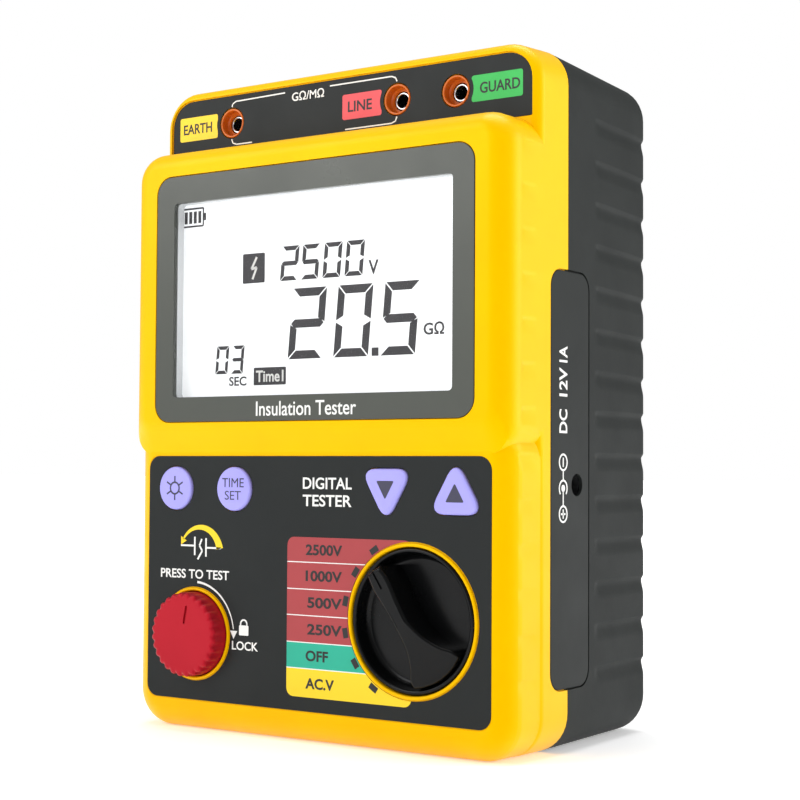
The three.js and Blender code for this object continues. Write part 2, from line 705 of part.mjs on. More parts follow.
// ---------- function switch ----------
function functionSwitch() {
  const radius = dialRingRadius - dialRingWidth - gap;
  const back = dialFloorDepth - gap;
  const dish = turned(0, 0, [
    [0, dialDishDepth], [radius - 2.6, dialDishDepth], [radius - 1.5, dialRimDepth + 0.5],
    [radius - 1.1, dialRimDepth], [radius - 0.3, dialRimDepth], [radius, dialRimDepth + 0.4],
    [radius, back], [0, back],
  ], 40);
  const pointer = radius - 3.2;
  const tail = radius - 1.6;
  const rightSide = [
    [gripTailHalf, -Math.sqrt(tail * tail - gripTailHalf * gripTailHalf)], [5.6, -11.5], [3.3, -6.5],
    [2.3, -1], [2.4, 6], [3.1, pointer - 1], [2.2, pointer],
  ];
  const tailArc = [-2, -1, 0, 1, 2].map((step) => {
    const angle = step * 0.17;
    return [Math.sin(angle) * tail, -Math.cos(angle) * tail];
  });
  const leftSide = rightSide.map(([across, along]) => [-across, along]).reverse();
  const outline = [...tailArc, ...rightSide, ...leftSide];
  const ring = outline.map(([across, along]) => new THREE.Vector2(across, along));
  const slope = [
    new THREE.Vector2(gripTopDepth, -1), new THREE.Vector2(gripTopDepth - 1, -1),
    new THREE.Vector2(gripTopDepth - 1, -far), new THREE.Vector2(gripTailDepth, -far),
    new THREE.Vector2(gripTailDepth, -tail),
  ];
  const grip = plate(ring, gripTopDepth, dialDishDepth + 1).subtract(slab(slope, -far, far));
  const knob = joined(dish, grip).subtract(bar(0, 0, hubDepth, far, rotorShaftRadius + gap, 20))
    .subtract(block(-0.35, 0.35, -far, gripTopDepth + 0.6, pointer - 5, pointer + 1));
  const knobMesh = addPiece('function_knob', knob, colours.black, 0.35);
  knobMesh.position.set(dialX, 0, dialZ);
  knobMesh.rotation.y = -THREE.MathUtils.degToRad(dialStartAngle);

  const notches = Math.round(360 / dialStep);
  const notched = [];
  for (let k = 0; k < notches * 4; k += 1) {
    const angle = (k / (notches * 4)) * Math.PI * 2;
    const reach = rotorRadius - (k % 4 === 0 ? 1 : 0) - 0.2;
    notched.push(new THREE.Vector2(dialX + reach * Math.cos(angle), dialZ + reach * Math.sin(angle)));
  }
  const rotor = plate(notched, rotorFront, rotorFront + rotorThickness)
    .add(bar(dialX, dialZ, hubDepth + gap, rotorFront + 1, rotorShaftRadius, 20));
  addPiece('switch_rotor', rotor, colours.white, 0.6);
  const wiperFront = rotorFront + rotorThickness + gap;
  let wiper = tube(dialX, dialZ, wiperFront, wiperFront + 0.5, 11, 7.5, 18);
  for (let k = 0; k < 3; k += 1) {
    const angle = (k / 3) * Math.PI * 2;
    wiper = wiper.add(bar(dialX + 9.2 * Math.cos(angle), dialZ + 9.2 * Math.sin(angle), wiperFront,
      mainBoardDepth - gap, 1.1, 8));
  }
  addPiece('wiper_contact', wiper, colours.brass, 0.3, 1);
  const leafZ = dialZ + rotorRadius + gap;
  const leaf = block(dialX - 9, dialX + 9, rotorFront, rotorFront + rotorThickness, leafZ + 0.8, leafZ + 1.3)
    .add(bar(dialX, leafZ + 1, rotorFront, rotorFront + rotorThickness, 0.9, 12));
  addPiece('detent_leaf', leaf, colours.steel, 0.3, 1);
}

// ---------- test button ----------
function fluteRing(radius, depthOfFlute) {
  const ring = [];
  const steps = testFlutes * 4;
  for (let k = 0; k < steps; k += 1) {
    const angle = (k / steps) * Math.PI * 2;
    const dip = depthOfFlute * [1, 0.45, 0, 0.45][k % 4];
    const reach = radius - dip;
    ring.push(new THREE.Vector2(testX + reach * Math.cos(angle), testZ + reach * Math.sin(angle)));
  }
  return ring;
}

function testButton() {
  const radius = testRingRadius - testRingWidth - gap;
  const skin = loft([
    { depth: testFaceDepth, ring: fluteRing(radius - 0.9, 0.7) },
    { depth: testFaceDepth + 0.9, ring: fluteRing(radius - 0.1, 0.8) },
    { depth: testFaceDepth + 5, ring: fluteRing(radius, 0) },
    { depth: springSeat, ring: fluteRing(radius, 0) },
  ]);
  const seatFront = springSeat - springSeatDepth;
  const seat = tube(testX, testZ, seatFront, springSeat + 1, springRadius + 1.4, testShaftRadius + 1.2, 20);
  const knob = skin.subtract(seat)
    .subtract(bar(testX, testZ, 0, springSeat + 1, testShaftRadius + gap, 20))
    .subtract(block(testX - 0.4, testX + 0.4, testFaceDepth - 1, testFaceDepth + 0.6, testZ + testMarkLow,
      testZ + testMarkHigh));
  addPiece('test_knob', knob, colours.red, 0.4);
  addPiece('test_shaft', bar(testX, testZ, gap, testShaftEnd, testShaftRadius, 20), colours.steel, 0.35, 1);
  const carrierFront = mainBoardDepth + boardThickness + 0.8;
  const carrierBack = testShaftEnd + 2;
  const carrier = bar(testX, testZ, carrierFront, carrierBack, testShaftRadius + 3.4, 24)
    .subtract(bar(testX, testZ, 0, testShaftEnd + gap, testShaftRadius + gap, 20));
  addPiece('test_carrier', carrier, colours.white, 0.6);
  const switchFront = carrierBack + testTravel + gap;
  const microswitch = joined(
    block(testX - switchHalf, testX + switchHalf, switchFront + 1, switchFront + switchTall,
      testZ - switchHeight / 2, testZ + switchHeight / 2),
    bar(testX, testZ, switchFront, switchFront + 2, 1.4, 12),
  );
  addPiece('test_microswitch', microswitch, colours.black, 0.5);
  const legFront = mainBoardDepth + boardThickness + gap;
  const bracketBack = switchFront + switchTall + 2;
  const bracketZ = [testZ - bracketHeight / 2, testZ + bracketHeight / 2];
  const legX = bracketHalf - bracketWall;
  const bracket = joined(
    block(testX - bracketHalf, testX + bracketHalf, switchFront + switchTall + gap, bracketBack, ...bracketZ),
    block(testX - bracketHalf, testX - legX, legFront, bracketBack, ...bracketZ),
    block(testX + legX, testX + bracketHalf, legFront, bracketBack, ...bracketZ),
  );
  addPiece('switch_bracket', bracket, colours.steel, 0.4, 1);
  const springFront = springSeat - springSeatDepth + gap + springWire;
  const springBack = dialFloorDepth - gap - springWire;
  const turns = 3;
  const points = [];
  for (let k = 0; k <= turns * 10; k += 1) {
    const angle = (k / 10) * Math.PI * 2;
    const depth = springFront + ((springBack - springFront) * k) / (turns * 10);
    const [x, z] = [testX + springRadius * Math.cos(angle), testZ + springRadius * Math.sin(angle)];
    points.push(new THREE.Vector3(x, depth, z));
  }
  const section = new THREE.Shape();
  section.absarc(0, 0, springWire, 0, Math.PI * 2);
  const coil = new THREE.ExtrudeGeometry(new THREE.Shape(section.getPoints(3)), {
    steps: turns * 10, bevelEnabled: false, extrudePath: new THREE.CatmullRomCurve3(points),
  });
  addPiece('test_spring', solidOf(coil), colours.steel, 0.3, 1);
}

function keypad() {
  const front = lowerDepth - keyProud;
  const flangeFront = lowerDepth + frontWall + gap;
  for (const key of keys) {
    const cap = plate(key.ring(0), front, matDepth - keyTravel - gap)
      .add(plate(key.ring(1.1), flangeFront, matDepth - keyTravel - gap));
    addPiece(key.name, cap, colours.lilac, 0.6);
  }
}

// ---------- terminals ----------
function terminals() {
  const end = terminalDepth + socketInset + socketLength;
  for (const { name, x } of jacks) {
    const flangeFront = rimDepth + frontWall + gap;
    const shroud = joined(
      bar(x, jackZ, terminalDepth, end - 2, shroudRadius, 20),
      bar(x, jackZ, flangeFront, flangeFront + 2, shroudRadius + 1.8, 20),
    ).subtract(bar(x, jackZ, 0, terminalDepth + socketInset, shroudRadius - shroudWall, 20))
      .subtract(bar(x, jackZ, 0, far * 2, socketRadius + gap, 16));
    addPiece(`jack_shroud_${name}`, shroud, colours.orange, 0.45);
    const socket = tube(x, jackZ, terminalDepth + socketInset, end, socketRadius, socketBore, 16);
    addPiece(`jack_socket_${name}`, socket, colours.steel, 0.25, 1);
  }
  const boardHalf = terminalHalf - terminalBoardInset;
  const board = block(-boardHalf, boardHalf, end + gap, end + gap + boardThickness, jackZ - 9, jackZ + 7);
  addPiece('terminal_board', board, colours.board, 0.5);
}

function powerInlet() {
  const cover = slab(sidePlateRing(0), sidePlateX - sidePlateThickness, sidePlateX)
    .subtract(crossBar(0, half + far, inletDepth, inletZ, inletBore));
  addPiece('dc_side_plate', cover, colours.charcoal, 0.6);
  const bodyFace = half - wall - gap * 2;
  const bodyX = bodyFace - inletLength;
  const body = joined(
    block(bodyX, bodyFace, inletDepth - inletBodyHalf, inletDepth + inletBodyHalf,
      inletZ - inletBodyHeight / 2, inletZ + inletBodyHeight / 2),
    crossBar(bodyFace - 1, platePocketX, inletDepth, inletZ, inletBore + inletWall),
  ).subtract(crossBar(bodyX + 2, half, inletDepth, inletZ, inletBore));
  addPiece('dc_inlet', body, colours.black, 0.5);
  const pin = crossBar(bodyX + 2 + gap, sidePlateX - inletPinInset, inletDepth, inletZ, inletPinRadius, 12);
  addPiece('dc_inlet_pin', pin, colours.steel, 0.3, 1);
}

// ---------- battery compartment ----------
function batteries() {
  const front = trayBack - trayDepth;
  const tray = block(-trayOuterHalf, trayOuterHalf, front, trayBack, trayLow, trayHigh)
    .subtract(block(-trayInnerHalf, trayInnerHalf, front + trayWall, trayBack + far, trayLow + trayWall,
      trayHigh - trayWall));
  addPiece('battery_tray', tray, colours.black, 0.6);
  const cellDepth = trayBack - gap - cellRadius;
  const endX = trayInnerHalf - gap - contactThickness;
  const rows = Array.from({ length: cellRows }, (_, row) => trayLow + trayWall + cellPitch * (row + 0.5));
  for (const [side, sign] of [['left', -1], ['right', 1]]) {
    const edges = [sign * endX, sign * (endX + contactThickness)].sort((a, b) => a - b);
    let strip = block(...edges, cellDepth - 4, cellDepth + 4, rows[0] - 4, rows[cellRows - 1] + 4);
    rows.forEach((z, row) => {
      const start = cellGapHalf;
      const nubOut = row % 2 === 0;
      const bodyStart = nubOut ? start : start + cellNub;
      const bodyEnd = start + cellLength - (nubOut ? cellNub : 0);
      const ends = (a, b) => [sign * a, sign * b].sort((p, q) => p - q);
      const cell = joined(
        crossBar(...ends(bodyStart, bodyEnd), cellDepth, z, cellRadius, 20),
        crossBar(...ends(start, start + cellLength), cellDepth, z, 2.6, 12),
      );
      addPiece(`cell_${side}_${row + 1}`, cell, colours.cell, 0.4, 0.3);
      const bump = ends(start + cellLength + gap, endX + contactThickness / 2);
      strip = strip.add(crossBar(...bump, cellDepth, z, 2.2, 12));
    });
    addPiece(`contact_${side}`, strip, colours.steel, 0.3, 1);
  }
  addPiece('contact_middle', block(-contactThickness / 2, contactThickness / 2, cellDepth - 4, cellDepth + 4,
    rows[0] - 4, rows[cellRows - 1] + 4), colours.steel, 0.3, 1);
  let cover = plate(coverRing(0), caseDepth - coverThickness, caseDepth);
  for (const { x, z } of coverScrews) {
    cover = cover.subtract(bar(x, z, 0, caseDepth + 1, screwRadius + gap, 12))
      .subtract(bar(x, z, coverHeadFront - gap, caseDepth + 1, screwHeadRadius + gap, 16));
  }
  addPiece('battery_cover', cover, colours.charcoal, 0.65);
}

// ---------- screws ----------
function screw(name, x, z, headBack, headHeight, length) {
  const shank = bar(x, z, headBack - headHeight - length, headBack - headHeight + 0.5, screwRadius, 12);
  const head = bar(x, z, headBack - headHeight, headBack, screwHeadRadius, 16);
  const slotWidth = 0.8;
  const cross = joined(
    block(x - 1.8, x + 1.8, headBack - 0.8, headBack + 1, z - slotWidth / 2, z + slotWidth / 2),
    block(x - slotWidth / 2, x + slotWidth / 2, headBack - 0.8, headBack + 1, z - 1.8, z + 1.8),
  );
  addPiece(name, joined(shank, head).subtract(cross), colours.steel, 0.3, 1);
}

frontShell();
rearShell();
panels();
display();
boards();
functionSwitch();
testButton();
keypad();
terminals();
powerInlet();
batteries();
for (const { name, x, z } of bossPlaces) {
  screw(name, x, z, caseDepth - screwHeadInset, screwHeadHeight, screwLength);
}
for (const { name, x, z } of coverScrews) screw(name, x, z, coverHeadFront + 1.1, 1.1, 7);

model.children.forEach((piece) => piece.position.setY(-middleDepth));

export default model;
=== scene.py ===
# Looks of a portable insulation resistance tester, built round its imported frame.
import json
import math
import bmesh
import bpy
from mathutils import Matrix, Vector


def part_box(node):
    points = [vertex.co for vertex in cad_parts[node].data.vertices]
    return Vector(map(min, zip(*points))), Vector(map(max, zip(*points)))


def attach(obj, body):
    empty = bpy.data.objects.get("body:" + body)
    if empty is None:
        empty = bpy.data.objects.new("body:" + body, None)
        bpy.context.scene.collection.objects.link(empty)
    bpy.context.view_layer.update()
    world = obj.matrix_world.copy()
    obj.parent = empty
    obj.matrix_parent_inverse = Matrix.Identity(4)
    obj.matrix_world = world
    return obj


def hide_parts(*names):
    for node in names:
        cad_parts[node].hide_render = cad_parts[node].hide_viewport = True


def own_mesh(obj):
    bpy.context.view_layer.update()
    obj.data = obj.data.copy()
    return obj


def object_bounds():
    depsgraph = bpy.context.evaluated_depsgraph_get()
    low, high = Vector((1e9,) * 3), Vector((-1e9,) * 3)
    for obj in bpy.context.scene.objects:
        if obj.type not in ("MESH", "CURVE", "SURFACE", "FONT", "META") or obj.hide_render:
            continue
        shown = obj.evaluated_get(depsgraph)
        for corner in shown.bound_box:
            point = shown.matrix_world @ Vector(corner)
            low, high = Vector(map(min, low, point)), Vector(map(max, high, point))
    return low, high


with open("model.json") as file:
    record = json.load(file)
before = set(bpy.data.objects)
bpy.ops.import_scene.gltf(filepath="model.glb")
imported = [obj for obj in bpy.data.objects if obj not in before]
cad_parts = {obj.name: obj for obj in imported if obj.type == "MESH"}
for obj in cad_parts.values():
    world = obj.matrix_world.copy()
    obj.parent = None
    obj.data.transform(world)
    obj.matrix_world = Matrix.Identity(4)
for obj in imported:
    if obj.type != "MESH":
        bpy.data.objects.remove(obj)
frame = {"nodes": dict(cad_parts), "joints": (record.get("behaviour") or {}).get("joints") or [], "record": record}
cadLow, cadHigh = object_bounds()
mm = 0.001
print("frame loaded")

# Shapes are drawn in millimetres: x across, depth behind the display face, z up.
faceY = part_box("display_window")[0].y
placed = Matrix(((mm, 0, 0, 0), (0, mm, 0, faceY), (0, 0, mm, 0), (0, 0, 0, 1)))

# Each drawing plane has x to the right, y up and z towards the person who looks at it.
frontView = Matrix(((1, 0, 0, 0), (0, 0, -1, 0), (0, 1, 0, 0), (0, 0, 0, 1)))
sideView = Matrix(((0, 0, 1, 0), (1, 0, 0, 0), (0, 1, 0, 0), (0, 0, 0, 1)))
backView = Matrix(((-1, 0, 0, 0), (0, 0, 1, 0), (0, 1, 0, 0), (0, 0, 0, 1)))


def nodeBox(node):
    low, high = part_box(node)
    return {"left": low.x / mm, "right": high.x / mm, "low": low.z / mm, "high": high.z / mm,
            "front": (low.y - faceY) / mm, "back": (high.y - faceY) / mm}


def middleOf(node):
    box = nodeBox(node)
    return (box["left"] + box["right"]) / 2, (box["low"] + box["high"]) / 2


def linearColour(code):
    parts = [int(code[k:k + 2], 16) / 255 for k in (0, 2, 4)]
    return [c / 12.92 if c <= 0.04045 else ((c + 0.055) / 1.055) ** 2.4 for c in parts] + [1.0]


def addNode(tree, kind, inputs=None, links=None, **settings):
    node = tree.nodes.new(kind)
    for key, value in settings.items():
        setattr(node, key, value)
    for key, value in (inputs or {}).items():
        node.inputs[key].default_value = value
    for key, socket in (links or {}).items():
        tree.links.new(socket, node.inputs[key])
    return node


def perMetre(size):
    # a pattern's scale for features of this many millimetres
    return 1 / (size * mm)


def surfaceMaterial(name, colour, dark, roughness, grain, metallic=0.0, ior=None, mottle=24.0, spread=0.06,
                    shine=0.5, tinge="FFFFFF", **shader):
    # colour drifts slowly towards the darker tone, roughness drifts with it, and a fine grain gives the bump
    material = bpy.data.materials.new(name)
    material.use_nodes = True
    tree = material.node_tree
    tree.nodes.clear()
    place = addNode(tree, "ShaderNodeTexCoord")
    drift = addNode(tree, "ShaderNodeTexNoise", {"Scale": perMetre(mottle), "Detail": 4.0, "Roughness": 0.6},
                    {"Vector": place.outputs["Object"]})
    tint = addNode(tree, "ShaderNodeValToRGB", links={"Fac": drift.outputs["Fac"]})
    tint.color_ramp.elements[0].position = 0.3
    tint.color_ramp.elements[0].color = linearColour(dark)
    tint.color_ramp.elements[1].position = 0.7
    tint.color_ramp.elements[1].color = linearColour(colour)
    gloss = addNode(tree, "ShaderNodeMapRange",
                    {"From Min": 0.3, "From Max": 0.7, "To Min": roughness + spread,
                     "To Max": roughness - spread / 2}, {"Value": drift.outputs["Fac"]})
    fine = addNode(tree, "ShaderNodeTexNoise", {"Scale": perMetre(grain["size"]), "Detail": 3.0,
                                                "Roughness": 0.65}, {"Vector": place.outputs["Object"]})
    bump = addNode(tree, "ShaderNodeBump", {"Strength": grain["strength"], "Distance": grain["height"] * mm},
                   {"Height": fine.outputs["Fac"]})
    body = addNode(tree, "ShaderNodeBsdfPrincipled", {"Metallic": metallic, **shader},
                   {"Base Color": tint.outputs["Color"], "Roughness": gloss.outputs["Result"],
                    "Normal": bump.outputs["Normal"]})
    if ior:
        body.inputs["IOR"].default_value = ior
        body.inputs["Specular IOR Level"].default_value = shine
        body.inputs["Specular Tint"].default_value = linearColour(tinge)
    addNode(tree, "ShaderNodeOutputMaterial", links={"Surface": body.outputs["BSDF"]})
    return material


moulded = {"size": 0.55, "strength": 0.25, "height": 0.03}  # fine tool texture
sparked = {"size": 0.7, "strength": 0.6, "height": 0.06}  # spark-eroded tool texture, drawn a little coarse
polished = {"size": 2.5, "strength": 0.05, "height": 0.02}
inked = {"size": 0.4, "strength": 0.2, "height": 0.01}

materials = {
    # ABS, injection moulded with a satin tool: soft wide highlights, strong even yellow
    "yellowAbs": surfaceMaterial("yellowAbs", "F8BE00", "F4B800", 0.34, moulded, ior=1.53, tinge="FFC800"),
    # ABS with a spark-eroded texture: dark grey that hardly shines
    "charcoalAbs": surfaceMaterial("charcoalAbs", "252827", "212423", 0.55, sparked, ior=1.53, shine=0.14),
    # plate over the inlet, same plastic with a finer tool texture
    "charcoalPlate": surfaceMaterial("charcoalPlate", "262928", "232625", 0.45, moulded, ior=1.53,
                                     shine=0.14),
    # polycarbonate label film with a velvet face
    "panelFilm": surfaceMaterial("panelFilm", "232626", "202323", 0.42, inked, ior=1.58, shine=0.13),
    # grey print behind the window, seen through its gloss
    "windowPrint": surfaceMaterial("windowPrint", "474A43", "42453F", 0.3, polished, ior=1.49),
    # silicone rubber keys: soft lilac, matt
    "keySilicone": surfaceMaterial("keySilicone", "A7A3F2", "A19DEC", 0.5, moulded, ior=1.41),
    # glossy red ABS of the test button
    "redAbs": surfaceMaterial("redAbs", "B01C2A", "A81826", 0.36, moulded, ior=1.53, tinge="FF5060"),
    # black ABS of the dial from a polished tool: deep black with a clear, weak reflection
    "blackAbs": surfaceMaterial("blackAbs", "0B0C0D", "090A0B", 0.24, polished, ior=1.53, shine=0.17),
    # black ABS mouldings inside: plain and satin
    "blackParts": surfaceMaterial("blackParts", "202122", "1B1C1D", 0.5, moulded, ior=1.53),
    # glass-filled nylon cups of the terminals: even orange with a low sheen
    "orangeNylon": surfaceMaterial("orangeNylon", "D46A08", "C65F05", 0.4, moulded, ior=1.53),
    # white ABS holders and carriers: satin, very slightly clouded
    "whiteAbs": surfaceMaterial("whiteAbs", "E6E8EA", "DDE0E2", 0.45, moulded, ior=1.53),
    # bright nickel plate over brass or steel: pale metal, crisp reflections
    "nickelPlate": surfaceMaterial("nickelPlate", "C9CBCD", "B9BCBF", 0.22,
                                   {"size": 0.3, "strength": 0.1, "height": 0.01}, metallic=1.0),
    # bare brass strips and wipers: warm yellow metal, crisp reflections
    "brassContact": surfaceMaterial("brassContact", "D0A94F", "B98F3C", 0.28,
                                    {"size": 0.3, "strength": 0.1, "height": 0.01}, metallic=1.0),
    # silicone rubber filled with carbon: dull, finely mottled dark grey
    "conductiveRubber": surfaceMaterial("conductiveRubber", "3A3A3C", "1C1C1E", 0.7,
                                        {"size": 0.2, "strength": 0.4, "height": 0.05}, mottle=0.5),
    # screen-printed inks: flat, even colour, a little duller than the film under them
    "whiteInk": surfaceMaterial("whiteInk", "F1F1EE", "E6E6E2", 0.45, inked),
    "darkInk": surfaceMaterial("darkInk", "18181A", "141416", 0.5, inked, shine=0.12),
    "redInk": surfaceMaterial("redInk", "A8363A", "A03236", 0.45, inked, shine=0.25),
    "tealInk": surfaceMaterial("tealInk", "0CAE90", "0AA488", 0.45, inked, shine=0.25),
    "yellowInk": surfaceMaterial("yellowInk", "F6D400", "F0CC00", 0.45, inked, shine=0.25, tinge="FFE000"),
    "roseInk": surfaceMaterial("roseInk", "E84C53", "DF454C", 0.45, inked, shine=0.25),
    "greenInk": surfaceMaterial("greenInk", "21B94C", "1CB045", 0.45, inked, shine=0.25),
    "segmentInk": surfaceMaterial("segmentInk", "3C3A3E", "363438", 0.5, inked, shine=0.25),
    "keyInk": surfaceMaterial("keyInk", "3A3950", "323148", 0.5, inked, shine=0.25),
}


def lcdPaintedGlowMaterial():
    # reflective liquid crystal cell: an even white with a faint cloud in the diffuser, lifted to plain white by a
    # painted glow
    material = surfaceMaterial("lcdGlassPaintedGlow", "F4F6F7", "EEF1F3", 0.3, polished)
    body = next(n for n in material.node_tree.nodes if n.type == "BSDF_PRINCIPLED")
    # painted light: the cell glows to stand in for the light that falls on it
    body.inputs["Emission Color"].default_value = linearColour("FFFFFF")
    body.inputs["Emission Strength"].default_value = 0.45
    return material


def clearMaterial():
    # clear acrylic lens: nearly all light passes, the rest is a weak gloss
    material = surfaceMaterial("clearAcrylic", "2A2E2C", "262A28", 0.08, polished, ior=1.49)
    body = next(n for n in material.node_tree.nodes if n.type == "BSDF_PRINCIPLED")
    body.inputs["Alpha"].default_value = 0.07
    return material


def boardMaterial():
    # glass-epoxy board under green solder mask, with copper tracks that show through as a lighter green
    material = surfaceMaterial("circuitBoard", "1D6A3C", "185E34", 0.4, inked)
    tree = material.node_tree
    body = next(n for n in tree.nodes if n.type == "BSDF_PRINCIPLED")
    place = next(n for n in tree.nodes if n.type == "TEX_COORD")
    upright = addNode(tree, "ShaderNodeMapping", {"Rotation": (math.pi / 2, 0, 0)},
                      {"Vector": place.outputs["Object"]})
    tracks = addNode(tree, "ShaderNodeTexBrick",
                     {"Scale": perMetre(6.0), "Mortar Size": 0.03, "Color1": linearColour("1D6A3C"),
                      "Color2": linearColour("1A6238"), "Mortar": linearColour("3E9A5E")},
                     {"Vector": upright.outputs["Vector"]})
    tree.links.new(tracks.outputs["Color"], body.inputs["Base Color"])
    return material


def bandedMaterial(name, first, second, size, roughness, metallic, axis):
    # bands of two colours along one axis: printed rings on a sleeve, and the painted light and shade of wire turns
    material = surfaceMaterial(name, first, second, roughness, inked, metallic=metallic)
    tree = material.node_tree
    body = next(n for n in tree.nodes if n.type == "BSDF_PRINCIPLED")
    place = next(n for n in tree.nodes if n.type == "TEX_COORD")
    bands = addNode(tree, "ShaderNodeTexWave", {"Scale": perMetre(size) / 6.28, "Distortion": 0.0},
                    {"Vector": place.outputs["Object"]}, bands_direction=axis)
    ramp = addNode(tree, "ShaderNodeValToRGB", links={"Fac": bands.outputs["Fac"]})
    ramp.color_ramp.elements[0].color = linearColour(second)
    ramp.color_ramp.elements[1].color = linearColour(first)
    ramp.color_ramp.elements[1].position = 0.6
    tree.links.new(ramp.outputs["Color"], body.inputs["Base Color"])
    return material


materials["lcdGlassPaintedGlow"] = lcdPaintedGlowMaterial()
materials["clearAcrylic"] = clearMaterial()
materials["circuitBoard"] = boardMaterial()
# enamelled copper wire in close turns, with painted highlights on the turns and painted shade in the darker bands
# between them, and the printed sleeve of a battery cell in two colours
materials["windingCopper"] = bandedMaterial("windingCopper", "C07A45", "8A4E26", 0.8, 0.35, 0.6, "Z")
materials["cellSleeve"] = bandedMaterial("cellSleeve", "2D5FA8", "C9A040", 25.0, 0.3, 0.2, "X")
print("materials made")

# the record's slots and the finish that each takes here
slotFinish = {
    "yellow_abs": "yellowAbs", "charcoal_abs": "charcoalAbs", "panel_film": "panelFilm",
    "window_lens": "clearAcrylic", "key_silicone": "keySilicone", "red_abs": "redAbs",
    "black_abs": "blackParts", "orange_nylon": "orangeNylon", "nickel_plate": "nickelPlate",
    "brass_contact": "brassContact", "white_abs": "whiteAbs", "lcd_glass": "lcdGlassPaintedGlow",
    "circuit_board": "circuitBoard", "cell_sleeve": "cellSleeve", "winding_copper": "windingCopper",
    "conductive_rubber": "conductiveRubber",
}


def roundedFace(bm, left, right, low, high, level, lowRadius=0.0, highRadius=None, steps=8):
    before = set(bm.faces)
    verts = bmesh.ops.create_grid(bm, x_segments=1, y_segments=1, size=0.5)["verts"]
    bmesh.ops.scale(bm, vec=(right - left, high - low, 1), verts=verts)
    bmesh.ops.translate(bm, vec=((left + right) / 2, (low + high) / 2, level), verts=verts)
    middle = (low + high) / 2
    lows = [v for v in verts if v.co.y < middle]
    highs = [v for v in verts if v.co.y > middle]
    for radius, group in ((lowRadius, lows), (lowRadius if highRadius is None else highRadius, highs)):
        if radius > 0:
            bmesh.ops.bevel(bm, geom=group, offset=radius, offset_type="OFFSET", segments=steps, profile=0.5,
                            affect="VERTICES", material=-1)
    return [f for f in bm.faces if f not in before]


def roundFace(bm, x, y, radius, level, steps=48):
    before = set(bm.faces)
    bmesh.ops.create_circle(bm, cap_ends=True, radius=radius, segments=steps,
                            matrix=Matrix.Translation((x, y, level)))
    return [f for f in bm.faces if f not in before]


def arrowFace(bm, x, y, up, grow, level, key):
    # a triangle with rounded corners, point up or down
    before = set(bm.faces)
    radius = key["reach"] * 2 + (key["corner"] + grow) * 2 - key["reach"]
    turn = Matrix.Rotation(0 if up else math.pi, 4, "Z")
    verts = bmesh.ops.create_circle(bm, cap_ends=True, radius=radius, segments=3,
                                    matrix=Matrix.Translation((x, y, level)) @ turn)["verts"]
    bmesh.ops.bevel(bm, geom=verts, offset=(key["corner"] + grow) / math.tan(math.radians(30)), segments=6,
                    offset_type="OFFSET", profile=0.5, affect="VERTICES", material=-1)
    return [f for f in bm.faces if f not in before]


def pushOut(bm, faces, distance):
    attached = any(g not in faces for f in faces for e in f.edges for g in e.link_faces)
    made = bmesh.ops.extrude_face_region(bm, geom=faces)["geom"]
    if attached:  # a face that closes a body moves on, and none stays behind
        bmesh.ops.delete(bm, geom=[f for f in faces if f.is_valid], context="FACES_ONLY")
    moved = [g for g in made if isinstance(g, bmesh.types.BMVert)]
    bmesh.ops.translate(bm, vec=(0, 0, distance), verts=moved)
    return [g for g in made if isinstance(g, bmesh.types.BMFace)]


def roundOver(bm, faces, size, steps=6, reach=None):
    # the face moves forward and in through a quarter circle
    reach = size if reach is None else reach
    lastIn = lastOut = 0.0
    for k in range(1, steps + 1):
        angle = k / steps * math.pi / 2
        inward, outward = size * (1 - math.cos(angle)), reach * math.sin(angle)
        bmesh.ops.inset_region(bm, faces=faces, thickness=inward - lastIn, depth=outward - lastOut,
                               use_even_offset=True, use_boundary=True)
        lastIn, lastOut = inward, outward
    return faces


def slab(faceOf, front, back, edge=0.0, steps=4, view=frontView):
    # a plate from one depth to another with its front edge rounded; faceOf draws the outline
    bm = bmesh.new()
    faces = faceOf(bm, -back)
    faces = pushOut(bm, faces, back - front - edge)
    if edge:
        roundOver(bm, faces, edge, steps)
    bmesh.ops.recalc_face_normals(bm, faces=bm.faces)
    bmesh.ops.transform(bm, matrix=view, verts=bm.verts)
    return bm


def pocket(faceOf, surface, floor, lip=0.3, steps=3, view=frontView, above=40.0):
    # a cutter that sinks from a surface to a floor, widening at the surface so that the lip comes out rounded
    bm = bmesh.new()
    bottom = faceOf(bm, -surface, lip)
    pushOut(bm, bottom, above)
    bmesh.ops.reverse_faces(bm, faces=bottom)
    lastIn = lastDown = 0.0
    for k in range(1, steps + 1):
        angle = k / steps * math.pi / 2
        inward, down = lip * math.sin(angle), lip * (1 - math.cos(angle))
        bmesh.ops.inset_region(bm, faces=bottom, thickness=inward - lastIn, depth=down - lastDown,
                               use_even_offset=True, use_boundary=True)
        lastIn, lastDown = inward, down
    pushOut(bm, bottom, -(floor - surface - lip))
    bmesh.ops.recalc_face_normals(bm, faces=bm.faces)
    bmesh.ops.transform(bm, matrix=view, verts=bm.verts)
    return bm


def spun(profile, x, y, steps=72, view=frontView, closed=False):
    # radius and depth points, spun round an axis that points at the viewer
    bm = bmesh.new()
    verts = [bm.verts.new((x + radius, y, -depth)) for radius, depth in profile]
    edges = [bm.edges.new(pair) for pair in zip(verts, verts[1:])]
    if closed:
        edges.append(bm.edges.new((verts[-1], verts[0])))
    bmesh.ops.spin(bm, geom=verts + edges, cent=(x, y, 0), axis=(0, 0, 1), angle=math.tau, steps=steps,
                   use_merge=True, use_duplicate=False)
    bmesh.ops.remove_doubles(bm, verts=bm.verts, dist=0.0005)
    bmesh.ops.recalc_face_normals(bm, faces=bm.faces)
    bmesh.ops.transform(bm, matrix=view, verts=bm.verts)
    return bm


def tempObject(bm):
    mesh = bpy.data.meshes.new("tool")
    bm.to_mesh(mesh)
    bm.free()
    thing = bpy.data.objects.new("tool", mesh)
    bpy.context.scene.collection.objects.link(thing)
    return thing


